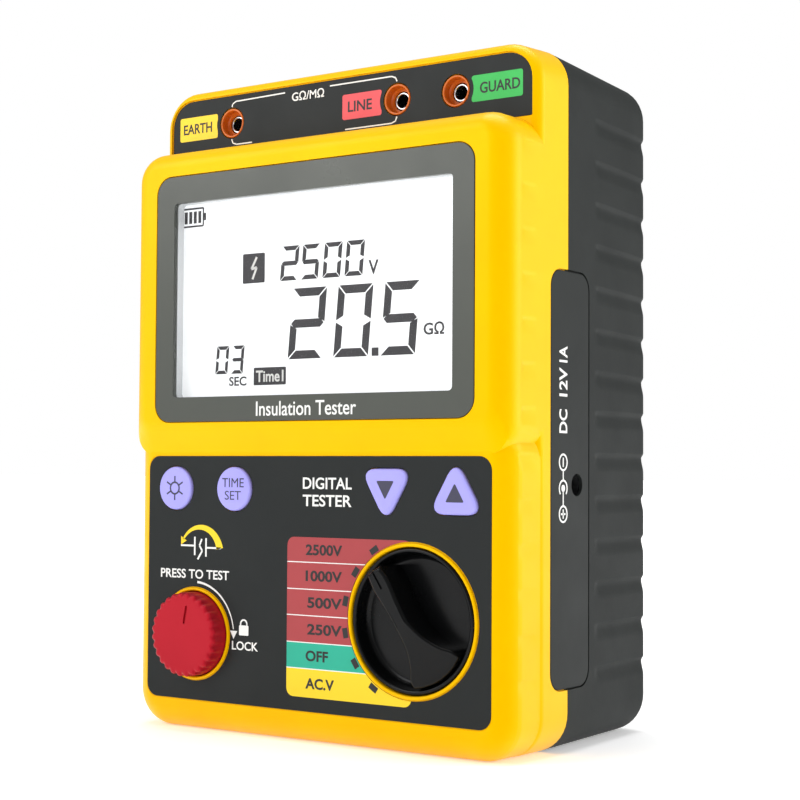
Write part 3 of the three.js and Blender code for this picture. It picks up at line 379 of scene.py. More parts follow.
def carved(base, *steps):
    # each step is a pair: "UNION" or "DIFFERENCE", and the tool's mesh
    body = tempObject(base)
    tools = []
    for operation, tool in steps:
        tools.append(tempObject(tool))
        modifier = body.modifiers.new("carve", "BOOLEAN")
        modifier.operation = operation
        modifier.solver = "EXACT"
        modifier.object = tools[-1]
    graph = bpy.context.evaluated_depsgraph_get()
    mesh = bpy.data.meshes.new_from_object(body.evaluated_get(graph))
    result = bmesh.new()
    result.from_mesh(mesh)
    for thing in [body, *tools]:
        bpy.data.meshes.remove(thing.data)
    bpy.data.meshes.remove(mesh)
    return result


def addPiece(name, bm, body, material, replaces=(), smooth=35, weighted=True):
    bmesh.ops.remove_doubles(bm, verts=bm.verts, dist=0.0004)
    bmesh.ops.recalc_face_normals(bm, faces=bm.faces)
    bmesh.ops.transform(bm, matrix=placed, verts=bm.verts)
    openEdges = sum(1 for e in bm.edges if len(e.link_faces) != 2)
    mesh = bpy.data.meshes.new(name)
    bm.to_mesh(mesh)
    bm.free()
    mesh.polygons.foreach_set("use_smooth", [True] * len(mesh.polygons))
    mesh.set_sharp_from_angle(angle=math.radians(smooth))
    mesh.materials.append(materials[material])
    piece = bpy.data.objects.new(name, mesh)
    bpy.context.scene.collection.objects.link(piece)
    if weighted:
        piece.modifiers.new("evenNormals", "WEIGHTED_NORMAL").keep_sharp = True
    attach(piece, body)
    if replaces:
        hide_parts(*replaces)
    print(f"{name}: {len(mesh.polygons)} faces, {openEdges} open edges")
    return piece


def quarterInset(size, reach, behind):
    # how far a rounded edge lies inside its full size, this far behind its front
    if reach <= 0 or behind >= reach:
        return 0.0
    share = (reach - behind) / reach
    return size * (1 - math.sqrt(max(0.0, 1 - share * share)))


caseHalf = cadHigh.x / mm
caseHigh = cadHigh.z / mm
overlayBox = nodeBox("control_overlay")
terminalBox = nodeBox("terminal_overlay")
windowBox = nodeBox("display_window")
clearance = 0.3
splitFront = nodeBox("front_shell")["back"]
splitBack = nodeBox("rear_shell")["front"]

rear = {"corner": 11.5, "draft": 0.028, "wall": 2.6, "backRound": 5.0, "ribs": 14, "ribLow": 20.9,
        "ribPitch": 12.3, "ribStart": 47.0, "ribRun": 4.5, "ribDepth": 0.72, "ribUp": 1.6, "ribDown": 4.4,
        "ribFrom": 18.0, "ribTo": 184.0}


def ribShare(z):
    # 0 on the flat, 1 at the bottom of a grip groove: a short step down from above, a long ramp out below
    place = (z - rear["ribLow"] + rear["ribPitch"] / 2) % rear["ribPitch"] - rear["ribPitch"] / 2
    away = (place - 0.8) / (rear["ribUp"] if place > 0.8 else rear["ribDown"])
    return max(0.0, 0.5 + 0.5 * math.cos(math.pi * min(abs(away), 1.0)))


def cutRows(bm, levels, upwards, through):
    # loops across the flanks, close together where a groove turns, and at the given depths along them
    for k in range(rear["ribs"]):
        for shift in (-3.6, -2.8, -2.0, -1.2, -0.5, 0.2, 0.8, 1.2, 1.6, 2.0, 2.4):
            height = rear["ribLow"] + k * rear["ribPitch"] + shift
            bmesh.ops.bisect_plane(bm, geom=bm.verts[:] + bm.edges[:] + bm.faces[:],
                                   plane_co=upwards * height, plane_no=upwards)
    for level in levels:
        bmesh.ops.bisect_plane(bm, geom=bm.verts[:] + bm.edges[:] + bm.faces[:], plane_co=through * level,
                               plane_no=through)
    bm.normal_update()


shell = {
    "ribDepth": 0.28, "ribEnd": 13.5, "ribRun": 1.5, "ribFrom": 18.0, "ribTo": 170.0,
    "corner": 11.5, "cornerSteps": 10, "draft": 0.05, "wall": 2.6, "frontWall": 3.4, "lip": 0.35,
    "blocks": {
        "rim": {"front": terminalBox["front"] - 0.7, "low": 0.0, "high": caseHigh, "side": 3.0,
                "lowRound": 3.0, "highRound": 3.0, "highReach": 3.0, "narrower": 0.0, "ramp": 0.0,
                "highDraft": True},
        "lower": {"front": overlayBox["front"], "low": 0.0, "high": overlayBox["high"] + 10.7, "side": 7.0,
                  "lowRound": 7.0, "highRound": 0.0, "highReach": 0.0, "narrower": 0.5, "ramp": 0.0},
        "display": {"front": 0.0, "low": overlayBox["high"] + clearance,
                    "high": terminalBox["low"] - clearance, "side": 6.5, "lowRound": 0.0, "highRound": 5.5,
                    "highReach": 7.0, "narrower": 0.0, "ramp": 10.4, "lowCorner": 8.0, "highCorner": 9.5},
    },
}


def housingBlock(part, inwards=0.0):
    bm = bmesh.new()
    front = part["front"] + (shell["frontWall"] if inwards else 0)
    side = max(part["side"] - inwards, 0.5)
    lowRound = max(part["lowRound"] - inwards, 0)
    highRound = max(part["highRound"] - inwards, 0)
    highReach = max(part["highReach"] - inwards, 0)
    half = caseHalf - part["narrower"] - inwards
    low, high = part["low"] + inwards, part["high"] - inwards
    start = splitFront + (6 if inwards else 0)
    faces = roundedFace(bm, -half, half, low, high, -start, part.get("lowCorner", shell["corner"]) - inwards,
                        part.get("highCorner", shell["corner"]) - inwards, shell["cornerSteps"])
    levels = [front + highReach * share for share in (1, 0.82, 0.66, 0.52) if highReach * share > side + 0.4]
    last = start
    for level in [*levels, front + side]:
        faces = pushOut(bm, faces, last - level)
        last = level
    roundOver(bm, faces, side, 10)
    middle = (low + high) / 2
    for v in bm.verts:
        depth = -v.co.z
        lean = max(0.0, splitFront - depth) * shell["draft"]
        behind = depth - front
        plain = quarterInset(side, side, behind)
        v.co.x -= math.copysign(lean, v.co.x)
        if v.co.y > middle:
            drop = lean if part.get("highDraft") else 0
            v.co.y += plain - quarterInset(highRound, highReach, behind) - drop
        else:
            v.co.y += quarterInset(lowRound, lowRound, behind) - plain
            if part["ramp"]:
                share = min(max((depth - part["front"]) / overlayBox["front"], 0.0), 1.0)
                v.co.y += part["ramp"] * math.acos(2 * share - 1) / math.pi
    bmesh.ops.recalc_face_normals(bm, faces=bm.faces)
    bmesh.ops.transform(bm, matrix=frontView, verts=bm.verts)
    return bm


corners = {"overlay": 4.0, "terminalLow": 0.8, "terminalHigh": 8.2, "window": 5.5, "plate": 5.0, "cover": 4.0}


def boxFace(bm, box, level, grow, lowRadius, highRadius=None):
    return roundedFace(bm, box["left"] - grow, box["right"] + grow, box["low"] - grow, box["high"] + grow,
                       level, lowRadius, highRadius)


def overlayFace(bm, level, grow=0.0):
    return boxFace(bm, overlayBox, level, grow, corners["overlay"] + grow)


def terminalFace(bm, level, grow=0.0):
    return boxFace(bm, terminalBox, level, grow, corners["terminalLow"], corners["terminalHigh"] + grow)


def windowFace(bm, level, grow=0.0):
    return boxFace(bm, windowBox, level, grow, corners["window"] + grow)


opening = {"side": 7.0, "low": 7.5, "high": 8.3, "radius": 1.2, "nose": 1.6}  # what the window leaves clear


def viewFace(bm, level, grow=0.0):
    box, edge = windowBox, opening
    return roundedFace(bm, box["left"] + edge["side"] - grow, box["right"] - edge["side"] + grow,
                       box["low"] + edge["low"] - grow, box["high"] - edge["high"] + grow, level,
                       edge["radius"] + grow, steps=4)


plateBox = nodeBox("dc_side_plate")
pinBox = nodeBox("dc_inlet_pin")
inletX, inletZ = (pinBox["front"] + pinBox["back"]) / 2, middleOf("dc_inlet_pin")[1]


def plateFace(bm, level, grow=0.0):
    box = plateBox
    return roundedFace(bm, box["front"] - grow, box["back"] + grow, box["low"] - grow, box["high"] + grow,
                       level, corners["plate"] + grow)


def platePocket():
    # the plate lies in one recess cut across both shells
    return pocket(lambda bm, level, grow: plateFace(bm, level, clearance + grow), -caseHalf,
                  -plateBox["left"] + clearance, 0.25, view=sideView)


keyShapes = {
    "backlight_key": {"body": "backlight_button", "radius": 6.6},
    "time_key": {"body": "time_button", "radius": 6.6},
    "down_key": {"body": "down_button", "reach": 4.4, "corner": 3.0, "drop": 1.1, "up": False},
    "up_key": {"body": "up_button", "reach": 4.4, "corner": 3.0, "drop": -1.1, "up": True},
}
for name, key in keyShapes.items():  # all four stand on one line
    key["x"] = middleOf(name)[0]
    key["z"] = middleOf("time_key")[1]


def keyFace(bm, level, grow=0.0, key=None):
    if "radius" in key:
        return roundFace(bm, key["x"], key["z"], key["radius"] + grow, level, 56)
    return arrowFace(bm, key["x"], key["z"] + key["drop"], key["up"], grow, level, key)


jointAt = {j["name"]: j for j in frame["joints"]}


def jointCentre(name):
    place = jointAt[name]["pos_m"]
    return place[0] / mm, place[2] / mm


dial = {"ring": 21.75, "ringWidth": 1.1, "ringFront": 1.9, "floor": 10.0, "back": 12.0, "shaft": 3.3,
        "centre": jointCentre("function_dial_turn")}
test = {"ring": 13.9, "ringWidth": 0.95, "ringFront": 1.9, "floor": 10.0, "back": 12.0, "shaft": 3.3,
        "travel": 3.0, "centre": jointCentre("test_button_turn")}


def wellRing(part):
    # raised collar round a knob, with its well behind the panel
    outer, inner = part["ring"], part["ring"] - part["ringWidth"]
    crown = part["ringWidth"] / 2
    arch = [(outer - crown + crown * math.cos(a), part["ringFront"] + crown - crown * math.sin(a))
            for a in [k / 8 * math.pi for k in range(9)]]
    profile = [(part["shaft"], part["floor"]), (part["shaft"], part["back"]), (outer, part["back"]), *arch,
               (inner, part["floor"])]
    return spun(profile, *part["centre"], steps=96, closed=True)


def boreTool(x, y, radius, front, back, steps=48, view=frontView):
    return slab(lambda bm, level: roundFace(bm, x, y, radius, level, steps), front, back, view=view)


jackNames = ["earth", "line", "guard"]
screwNames = [f"case_screw_{row}_{side}" for row in ("lower", "upper") for side in ("left", "right")]
post = {"outer": 4.4, "bore": 1.8, "head": 3.3, "headHigh": 2.3, "cap": 2.4, "blind": 3.0}
jackBore = 4.9


def buildFrontShell():
    blocks = shell["blocks"]
    steps = [("UNION", housingBlock(blocks["lower"])), ("UNION", housingBlock(blocks["display"]))]
    steps += [("DIFFERENCE", housingBlock(part, shell["wall"])) for part in blocks.values()]
    lip = shell["lip"]
    for name in screwNames:  # posts that the case screws pull on
        x, z = middleOf(name)
        front = blocks["rim" if z > blocks["display"]["high"] else "lower"]["front"] + post["cap"]
        steps.append(("UNION", boreTool(x, z, post["outer"], front, splitFront - 0.05, 24)))
        steps.append(("DIFFERENCE", boreTool(x, z, post["bore"], front + post["blind"], splitFront + 5, 20)))
    steps.append(("DIFFERENCE", pocket(lambda bm, level, grow: overlayFace(bm, level, clearance + grow),
                                       overlayBox["front"], overlayBox["back"] + clearance, lip)))
    steps.append(("DIFFERENCE", pocket(lambda bm, level, grow: terminalFace(bm, level, clearance + grow),
                                       blocks["rim"]["front"], terminalBox["back"] + clearance, lip)))
    steps.append(("DIFFERENCE", pocket(lambda bm, level, grow: windowFace(bm, level, clearance + grow),
                                       0.0, windowBox["back"] + clearance, lip)))
    behind = opening["nose"] + clearance
    steps.append(("DIFFERENCE", slab(lambda bm, level: viewFace(bm, level, behind), 0.5, 14)))
    for part in (dial, test):
        steps.append(("DIFFERENCE", boreTool(*part["centre"], part["ring"] - 0.4, -5, 14, 96)))
        steps.append(("UNION", wellRing(part)))
    for key in keyShapes.values():
        steps.append(("DIFFERENCE", slab(lambda bm, level: keyFace(bm, level, clearance, key), 0, 14)))
    for name in jackNames:
        x, z = middleOf(f"jack_shroud_{name}")
        steps.append(("DIFFERENCE", boreTool(x, z, jackBore, 10, splitFront + 8)))
    steps.append(("DIFFERENCE", platePocket()))
    bm = carved(housingBlock(blocks["rim"]), *steps)
    # the grip grooves run on, hardly felt, over the yellow flank
    start, end, run = blocks["display"]["side"] + 0.6, shell["ribEnd"], shell["ribRun"]
    cutRows(bm, [start, start + run, end, end + run], Vector((0, 0, 1)), Vector((0, 1, 0)))
    for v in bm.verts:
        flank = abs(v.normal.x) > 0.8 and abs(v.co.x) > caseHalf - 4
        if flank and shell["ribFrom"] < v.co.z < shell["ribTo"]:
            enter = min(max((v.co.y - start) / run, 0.0), max((end + run - v.co.y) / run, 0.0), 1.0)
            v.co.x -= math.copysign(shell["ribDepth"] * enter * ribShare(v.co.z), v.co.x)
    return addPiece("frontShell", bm, "root", "yellowAbs", ["front_shell"], smooth=32)


buildFrontShell()
print("front shell built")


coverBox = nodeBox("battery_cover")
cover = {"deep": 2.9, "lip": 0.3, "ledge": 4.0, "ledgeThick": 2.6, "bore": 1.8, "head": 3.3,
         "headHigh": 1.4, "bars": 5, "barX": 38.0, "barHalf": 9.0, "barHigh": 0.45, "barDeep": 0.4,
         "barPitch": 2.2, "barDrop": 14.0}
coverScrews = ["cover_screw_left", "cover_screw_right"]
backDepth = nodeBox("rear_shell")["back"]


def coverFace(bm, level, grow=0.0):
    mirrored = {**coverBox, "left": -coverBox["right"], "right": -coverBox["left"]}  # drawn from behind
    return boxFace(bm, mirrored, level, grow, corners["cover"] + grow)


def rearBody(inwards=0.0):
    bm = bmesh.new()
    start = splitBack - (6 if inwards else 0)
    back = backDepth - inwards
    backRound = max(rear["backRound"] - inwards, 1.0)
    half = caseHalf - inwards
    faces = roundedFace(bm, -half, half, inwards, caseHigh - inwards, start, rear["corner"] - inwards,
                        steps=10)
    faces = pushOut(bm, faces, back - backRound - start)
    roundOver(bm, faces, backRound, 8)
    if not inwards:
        cutRows(bm, [rear["ribStart"] + run for run in (0, 0.6, 1.3, 2.2, 3.2, 4.5, 12.0)], Vector((0, 1, 0)),
                Vector((0, 0, 1)))
    bm.normal_update()
    for v in bm.verts:
        depth = v.co.z
        lean = max(0.0, depth - splitFront) * rear["draft"]
        if not inwards and abs(v.normal.x) > 0.3 and rear["ribFrom"] < v.co.y < rear["ribTo"]:
            enter = min(max((depth - rear["ribStart"]) / rear["ribRun"], 0.0), 1.0)
            enter = enter * enter * (3 - 2 * enter)
            v.co.x -= math.copysign(rear["ribDepth"] * enter * ribShare(v.co.y), v.co.x)
        v.co.x -= math.copysign(lean, v.co.x)
        if v.co.y > caseHigh / 2:
            v.co.y -= lean
    bmesh.ops.recalc_face_normals(bm, faces=bm.faces)
    bmesh.ops.transform(bm, matrix=backView, verts=bm.verts)
    return bm


def buildRearShell():
    steps = [("DIFFERENCE", rearBody(rear["wall"]))]
    for name in screwNames:
        x, z = middleOf(name)
        head = nodeBox(name)["back"] - post["headHigh"]
        steps.append(("UNION", boreTool(x, z, post["outer"], splitBack + 0.05, backDepth - 1, 24)))
        steps.append(("DIFFERENCE", boreTool(x, z, post["bore"], splitBack - 4, backDepth + 4, 20)))
        steps.append(("DIFFERENCE", boreTool(x, z, post["head"], head, backDepth + 4, 32)))
    ledge = coverBox["right"] - cover["ledge"]
    trayHigh = nodeBox("battery_tray")["high"]
    steps.append(("DIFFERENCE", coverPocket()))
    steps.append(("UNION", slab(lambda bm, level: roundedFace(bm, -ledge, ledge, trayHigh + clearance,
                                                              coverBox["high"] + 3, level),
                                coverBox["front"] - cover["ledgeThick"], coverBox["front"] - clearance)))
    for name in coverScrews:
        steps.append(("DIFFERENCE", boreTool(*middleOf(name), cover["bore"], 70, backDepth + 4, 20)))
    steps.append(("DIFFERENCE", platePocket()))
    steps.append(("DIFFERENCE", boreTool(inletX, inletZ, 5.1, -caseHalf - 5, -caseHalf + 6, view=sideView)))
    bm = carved(rearBody(), *steps)
    return addPiece("rearShell", bm, "root", "charcoalAbs", ["rear_shell"], smooth=32)


def coverPocket():
    # the battery opening, with its lip rounded on the way out
    bm = bmesh.new()
    deep, lip = cover["deep"], cover["lip"]
    faces = coverFace(bm, coverBox["front"] - deep - clearance, clearance)
    faces = pushOut(bm, faces, deep + clearance + (backDepth - coverBox["front"]) - lip)
    lastOut = lastUp = 0.0
    for k in range(1, 4):
        angle = k / 3 * math.pi / 2
        outward, upward = lip * (1 - math.cos(angle)), lip * math.sin(angle)
        bmesh.ops.inset_region(bm, faces=faces, thickness=lastOut - outward, depth=upward - lastUp,
                               use_even_offset=True, use_boundary=True)
        lastOut, lastUp = outward, upward
    pushOut(bm, faces, 10)
    bmesh.ops.recalc_face_normals(bm, faces=bm.faces)
    bmesh.ops.transform(bm, matrix=backView, verts=bm.verts)
    return bm


buildRearShell()
print("rear shell built")


def buildCover():
    bm = bmesh.new()
    faces = coverFace(bm, coverBox["front"])
    faces = pushOut(bm, faces, coverBox["back"] - coverBox["front"] - cover["lip"])
    roundOver(bm, faces, cover["lip"], 3)
    bmesh.ops.recalc_face_normals(bm, faces=bm.faces)
    bmesh.ops.transform(bm, matrix=backView, verts=bm.verts)
    steps = []
    for name in coverScrews:
        x, z = middleOf(name)
        seat = nodeBox(name)["back"] - cover["headHigh"]
        steps.append(("DIFFERENCE", boreTool(x, z, cover["bore"], 70, backDepth + 4, 20)))
        steps.append(("DIFFERENCE", boreTool(x, z, cover["head"], seat, backDepth + 4, 32)))
    # two rows of shallow grip bars below the screws
    high = cover["barHigh"]
    for x in (-cover["barX"], cover["barX"]):
        for k in range(cover["bars"]):
            z = coverBox["high"] - cover["barDrop"] - k * cover["barPitch"]
            bar = slab(lambda bm, level: roundedFace(bm, x - cover["barHalf"], x + cover["barHalf"], z - high,
                                                     z + high, level, high - 0.01, steps=4),
                       backDepth - cover["barDeep"], backDepth + 2)
            steps.append(("DIFFERENCE", bar))
    return addPiece("batteryCover", carved(bm, *steps), "rear_cover", "charcoalAbs",
                    ["battery_cover"], smooth=32)


buildCover()


def buildPanels():
    steps = [("DIFFERENCE", boreTool(*part["centre"], part["ring"] + clearance, 0, 8, 96))
             for part in (dial, test)]
    for key in keyShapes.values():
        steps.append(("DIFFERENCE", slab(lambda bm, level: keyFace(bm, level, clearance, key), 0, 8)))
    control = slab(overlayFace, overlayBox["front"], overlayBox["back"], 0.12, 2)
    addPiece("controlOverlay", carved(control, *steps), "root", "panelFilm",
             ["control_overlay"])
    steps = [("DIFFERENCE", boreTool(*middleOf(f"jack_shroud_{name}"), jackBore, 12, 20))
             for name in jackNames]
    terminal = slab(terminalFace, terminalBox["front"], terminalBox["back"], 0.12, 2)
    addPiece("terminalOverlay", carved(terminal, *steps), "root", "panelFilm",
             ["terminal_overlay"])


def buildWindow():
    # printed surround with the opening left clear, and the clear lens behind its face
    border = slab(windowFace, windowBox["front"], windowBox["back"], 0.2, 3)
    border = carved(border, ("DIFFERENCE", slab(viewFace, -5, 5)))
    addPiece("windowSurround", border, "root", "windowPrint", ["display_window"])
    lens = slab(lambda bm, level: viewFace(bm, level, -0.05), 0.15, 1.2)
    addPiece("windowLens", lens, "root", "clearAcrylic")


buildPanels()
buildWindow()
print("panels and window built")


keyForm = {"edge": 0.7, "dome": 0.12, "domeRun": 1.6, "arrowDomeRun": 0.3, "flange": 1.1, "flangeFront": 6.2}


def buildKeys():
    for name, key in keyShapes.items():
        box = nodeBox(name)
        bm = bmesh.new()
        faces = keyFace(bm, -box["back"], keyForm["flange"], key)
        faces = pushOut(bm, faces, box["back"] - keyForm["flangeFront"])
        bmesh.ops.inset_region(bm, faces=faces, thickness=keyForm["flange"], depth=0.0, use_even_offset=True,
                               use_boundary=True)
        faces = pushOut(bm, faces, keyForm["flangeFront"] - box["front"] - keyForm["edge"] - keyForm["dome"])
        roundOver(bm, faces, keyForm["edge"], 5)
        # the arrow keys have small corners, so their dome starts nearer the edge
        run = keyForm["domeRun"] if "radius" in key else keyForm["arrowDomeRun"]
        for share in (0.7, 0.3):
            bmesh.ops.inset_region(bm, faces=faces, thickness=run, depth=keyForm["dome"] * share,
                                   use_even_offset=True)
        bmesh.ops.recalc_face_normals(bm, faces=bm.faces)
        bmesh.ops.transform(bm, matrix=frontView, verts=bm.verts)
        addPiece(name.replace("_k", "K"), bm, key["body"], "keySilicone", [name])


buildKeys()
print("keys built")


grip = {"topFront": -3.5, "tailFront": 1.4, "pointer": 16.9, "tail": 18.5, "edge": 0.9, "turn": 33.75,
        # half width at places along the grip, from the tail to the pointer
        "waist": [(-18.5, 8.6), (-16.0, 8.4), (-11.5, 5.7), (-6.5, 3.4), (-1.0, 2.3), (6.0, 2.5), (12.5, 3.0),
                  (16.9, 2.5)]}
dish = {"rim": 2.2, "rimRound": 0.7, "floor": 6.9, "floorRound": 1.6, "wall": 3.4, "thick": 0.8, "back": 9.7}


def gripHalf(y):
    points = grip["waist"]
    for k in range(len(points) - 1):
        (y1, w1), (y2, w2) = points[k], points[k + 1]
        if y <= y2 or k == len(points) - 2:
            w0 = points[max(k - 1, 0)][1]
            w3 = points[min(k + 2, len(points) - 1)][1]
            t = min(max((y - y1) / (y2 - y1), 0.0), 1.0)
            return 0.5 * (2 * w1 + (w2 - w0) * t + (2 * w0 - 5 * w1 + 4 * w2 - w3) * t * t
                          + (3 * w1 - w0 - 3 * w2 + w3) * t ** 3)


def buildDial():
    radius = dial["ring"] - dial["ringWidth"] - clearance
    floor, crown, bend = dish["floor"], dish["rimRound"], dish["floorRound"]
    under = floor + dish["thick"]
    arch = [(radius - crown + crown * math.cos(a), dish["rim"] + crown - crown * math.sin(a))
            for a in [k / 6 * math.pi for k in range(7)]]
    hollow = [(radius - dish["wall"] + bend * math.sin(a), floor - bend + bend * math.cos(a))
              for a in [k / 5 * math.pi / 2 for k in range(6)]]
    profile = [(0, floor), *hollow, *reversed(arch), (radius, dish["back"]), (dial["shaft"], dish["back"]),
               (dial["shaft"], under), (0, under)]
    base = spun(profile, 0, 0, steps=112)
    bm = bmesh.new()
    bmesh.ops.create_grid(bm, x_segments=6, y_segments=30, size=1.0)
    for v in bm.verts:
        side, along = v.co.x, (v.co.y + 1) / 2
        y = -grip["tail"] + along * (grip["tail"] + grip["pointer"])
        x = side * gripHalf(y)
        ends = (-math.sqrt(grip["tail"] ** 2 - x * x), math.sqrt(grip["pointer"] ** 2 - x * x))
        v.co = (x, ends[0] + along * (ends[1] - ends[0]), -(floor + 0.4))
    faces = pushOut(bm, bm.faces[:], floor + 0.4 - grip["topFront"] - grip["edge"])
    roundOver(bm, faces, grip["edge"], 4)
    for v in bm.verts:
        if v.co.z > -floor:
            fall = min(max((-1.0 - v.co.y) / (grip["tail"] - 1.0), 0.0), 1.0)
            v.co.z -= fall ** 1.1 * (grip["tailFront"] - grip["topFront"])
    bmesh.ops.recalc_face_normals(bm, faces=bm.faces)
    bmesh.ops.transform(bm, matrix=frontView, verts=bm.verts)
    tip = grip["pointer"]
    groove = slab(lambda bm, level: roundedFace(bm, -0.4, 0.4, tip - 6, tip + 1, level), -5,
                  grip["topFront"] + 0.45)
    knob = carved(base, ("UNION", bm), ("DIFFERENCE", groove))
    x, z = dial["centre"]
    bmesh.ops.rotate(knob, verts=knob.verts, cent=(0, 0, 0),
                     matrix=Matrix.Rotation(-math.radians(grip["turn"]), 3, "Y"))
    bmesh.ops.translate(knob, verts=knob.verts, vec=(x, 0, z))
    addPiece("functionKnob", knob, "function_dial", "blackAbs", ["function_knob"], smooth=40)


buildDial()
print("dial built")


button = {"front": -3.2, "back": 6.7, "flutes": 28, "flute": 0.75, "fluteRun": 5.2, "edge": 1.1, "turn": 11.0,
          "hollow": 7.8, "hollowFront": 3.7, "hub": 4.2, "bore": 3.3}


def buildTestButton():
    x, z = test["centre"]
    radius = test["ring"] - test["ringWidth"] - clearance
    front, edge = button["front"], button["edge"]
    crown = [(radius - edge + edge * math.sin(a), front + edge - edge * math.cos(a))
             for a in [k / 6 * math.pi / 2 for k in range(7)]]
    side = [(radius, front + edge + k * 1.1) for k in range(1, 6)]
    back, hollow, hub = button["back"], button["hollow"], button["hub"]
    profile = [(0, front), (radius * 0.5, front), (radius - edge - 1.2, front), *crown, *side,
               (radius, back), (hollow, back), (hollow, button["hollowFront"]), (hub, button["hollowFront"]),
               (hub, back), (button["bore"], back), (button["bore"], 0.0), (0, 0.0)]
    bm = spun(profile, x, z, steps=button["flutes"] * 8)
    for v in bm.verts:
        across = Vector((v.co.x - x, 0, v.co.z - z))
        reach = across.length
        if reach > radius - edge - 0.9:
            angle = math.atan2(across.z, across.x)
            fade = min(max(1 - (v.co.y - front) / button["fluteRun"], 0.0), 1.0)
            dip = button["flute"] * fade * (0.5 + 0.5 * math.cos(button["flutes"] * angle)) ** 1.4
            v.co -= across.normalized() * dip
    groove = slab(lambda bm, level: roundedFace(bm, -0.45, 0.45, 3.4, 9.0, level, 0.44, steps=4), -6,
                  front + 0.6)
    bmesh.ops.rotate(groove, verts=groove.verts, cent=(0, 0, 0),
                     matrix=Matrix.Rotation(math.radians(button["turn"]), 3, "Y"))
    bmesh.ops.translate(groove, verts=groove.verts, vec=(x, 0, z))
    addPiece("testKnob", carved(bm, ("DIFFERENCE", groove)), "test_button", "redAbs",
             ["test_knob"], smooth=40)


coilSpring = {"wire": 0.45, "turns": 3, "steps": 24}


def buildSpring():
    # the return spring, which shortens as the button goes in; here it is one fixed coil at its rest length
    box = nodeBox("test_spring")
    x, z = test["centre"]
    wire, turns, steps = coilSpring["wire"], coilSpring["turns"], coilSpring["steps"]
    coil = (box["right"] - box["left"]) / 2 - wire
    length = box["back"] - box["front"] - wire * 2
    bm = bmesh.new()
    start = Matrix.Translation((x + coil, box["front"] + wire, z))
    bmesh.ops.create_circle(bm, cap_ends=True, radius=wire, segments=12, matrix=start)
    bmesh.ops.spin(bm, geom=bm.verts[:] + bm.edges[:] + bm.faces[:], cent=(x, 0, z), axis=(0, 1, 0),
                   dvec=(0, length / (turns * steps), 0), angle=math.tau * turns, steps=turns * steps)
    spring = addPiece("testSpring", bm, "root", "nickelPlate", ["test_spring"],
                      weighted=False)
    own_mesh(spring)


buildTestButton()
buildSpring()
print("test button built")


jack = {"outer": 4.6, "recess": 3.9, "recessDepth": 3.0, "flange": 6.4, "flangeThick": 2.0, "bore": 2.9,
        "tube": 2.6, "tubeBore": 2.0, "tubeEdge": 0.15}


def buildTerminals():
    for name in jackNames:
        x, z = middleOf(f"jack_shroud_{name}")
        box = nodeBox(f"jack_shroud_{name}")
        tube = nodeBox(f"jack_socket_{name}")
        floor = box["front"] + jack["recessDepth"]
        flange = shell["blocks"]["rim"]["front"] + shell["frontWall"] + clearance
        crown = (jack["outer"] - jack["recess"]) / 2
        arch = [(jack["recess"] + crown - crown * math.cos(a), box["front"] + crown - crown * math.sin(a))
                for a in [k / 6 * math.pi for k in range(7)]]
        behind = flange + jack["flangeThick"]
        profile = [(jack["bore"], floor), (jack["recess"] - 0.4, floor), (jack["recess"], floor - 0.4), *arch,
                   (jack["outer"], flange), (jack["flange"], flange), (jack["flange"], behind),
                   (jack["outer"], behind), (jack["outer"], box["back"]), (jack["bore"], box["back"])]
        addPiece(f"jackShroud{name.title()}", spun(profile, x, z, 56, closed=True), "root",
                 "orangeNylon", [f"jack_shroud_{name}"])
        front, outer, bore, edge = tube["front"], jack["tube"], jack["tubeBore"], jack["tubeEdge"]
        profile = [(bore, front + edge), (bore + edge, front), (outer - edge, front), (outer, front + edge),
                   (outer, tube["back"]), (bore, tube["back"])]
        addPiece(f"jackSocket{name.title()}", spun(profile, x, z, 40, closed=True), "root",
                 "nickelPlate", [f"jack_socket_{name}"])


buildTerminals()
print("terminals built")


sidePlate = {"hole": 3.2, "edge": 0.35}


def buildSidePlate():
    hole = boreTool(inletX, inletZ, sidePlate["hole"], -caseHalf - 4, -caseHalf + 6, view=sideView)
    bm = bmesh.new()
    faces = plateFace(bm, plateBox["left"])
    faces = pushOut(bm, faces, plateBox["right"] - plateBox["left"] - sidePlate["edge"])
    roundOver(bm, faces, sidePlate["edge"], 4)
    bmesh.ops.recalc_face_normals(bm, faces=bm.faces)
    bmesh.ops.transform(bm, matrix=sideView, verts=bm.verts)
    addPiece("sidePlate", carved(bm, ("DIFFERENCE", hole)), "root", "charcoalPlate",
             ["dc_side_plate"])


buildSidePlate()
print("side plate built")


inkThickness = 0.05


def printShape(bm, faces):
    # a flat inked shape: lifts the faces from just under the surface
    pushOut(bm, faces, inkThickness)


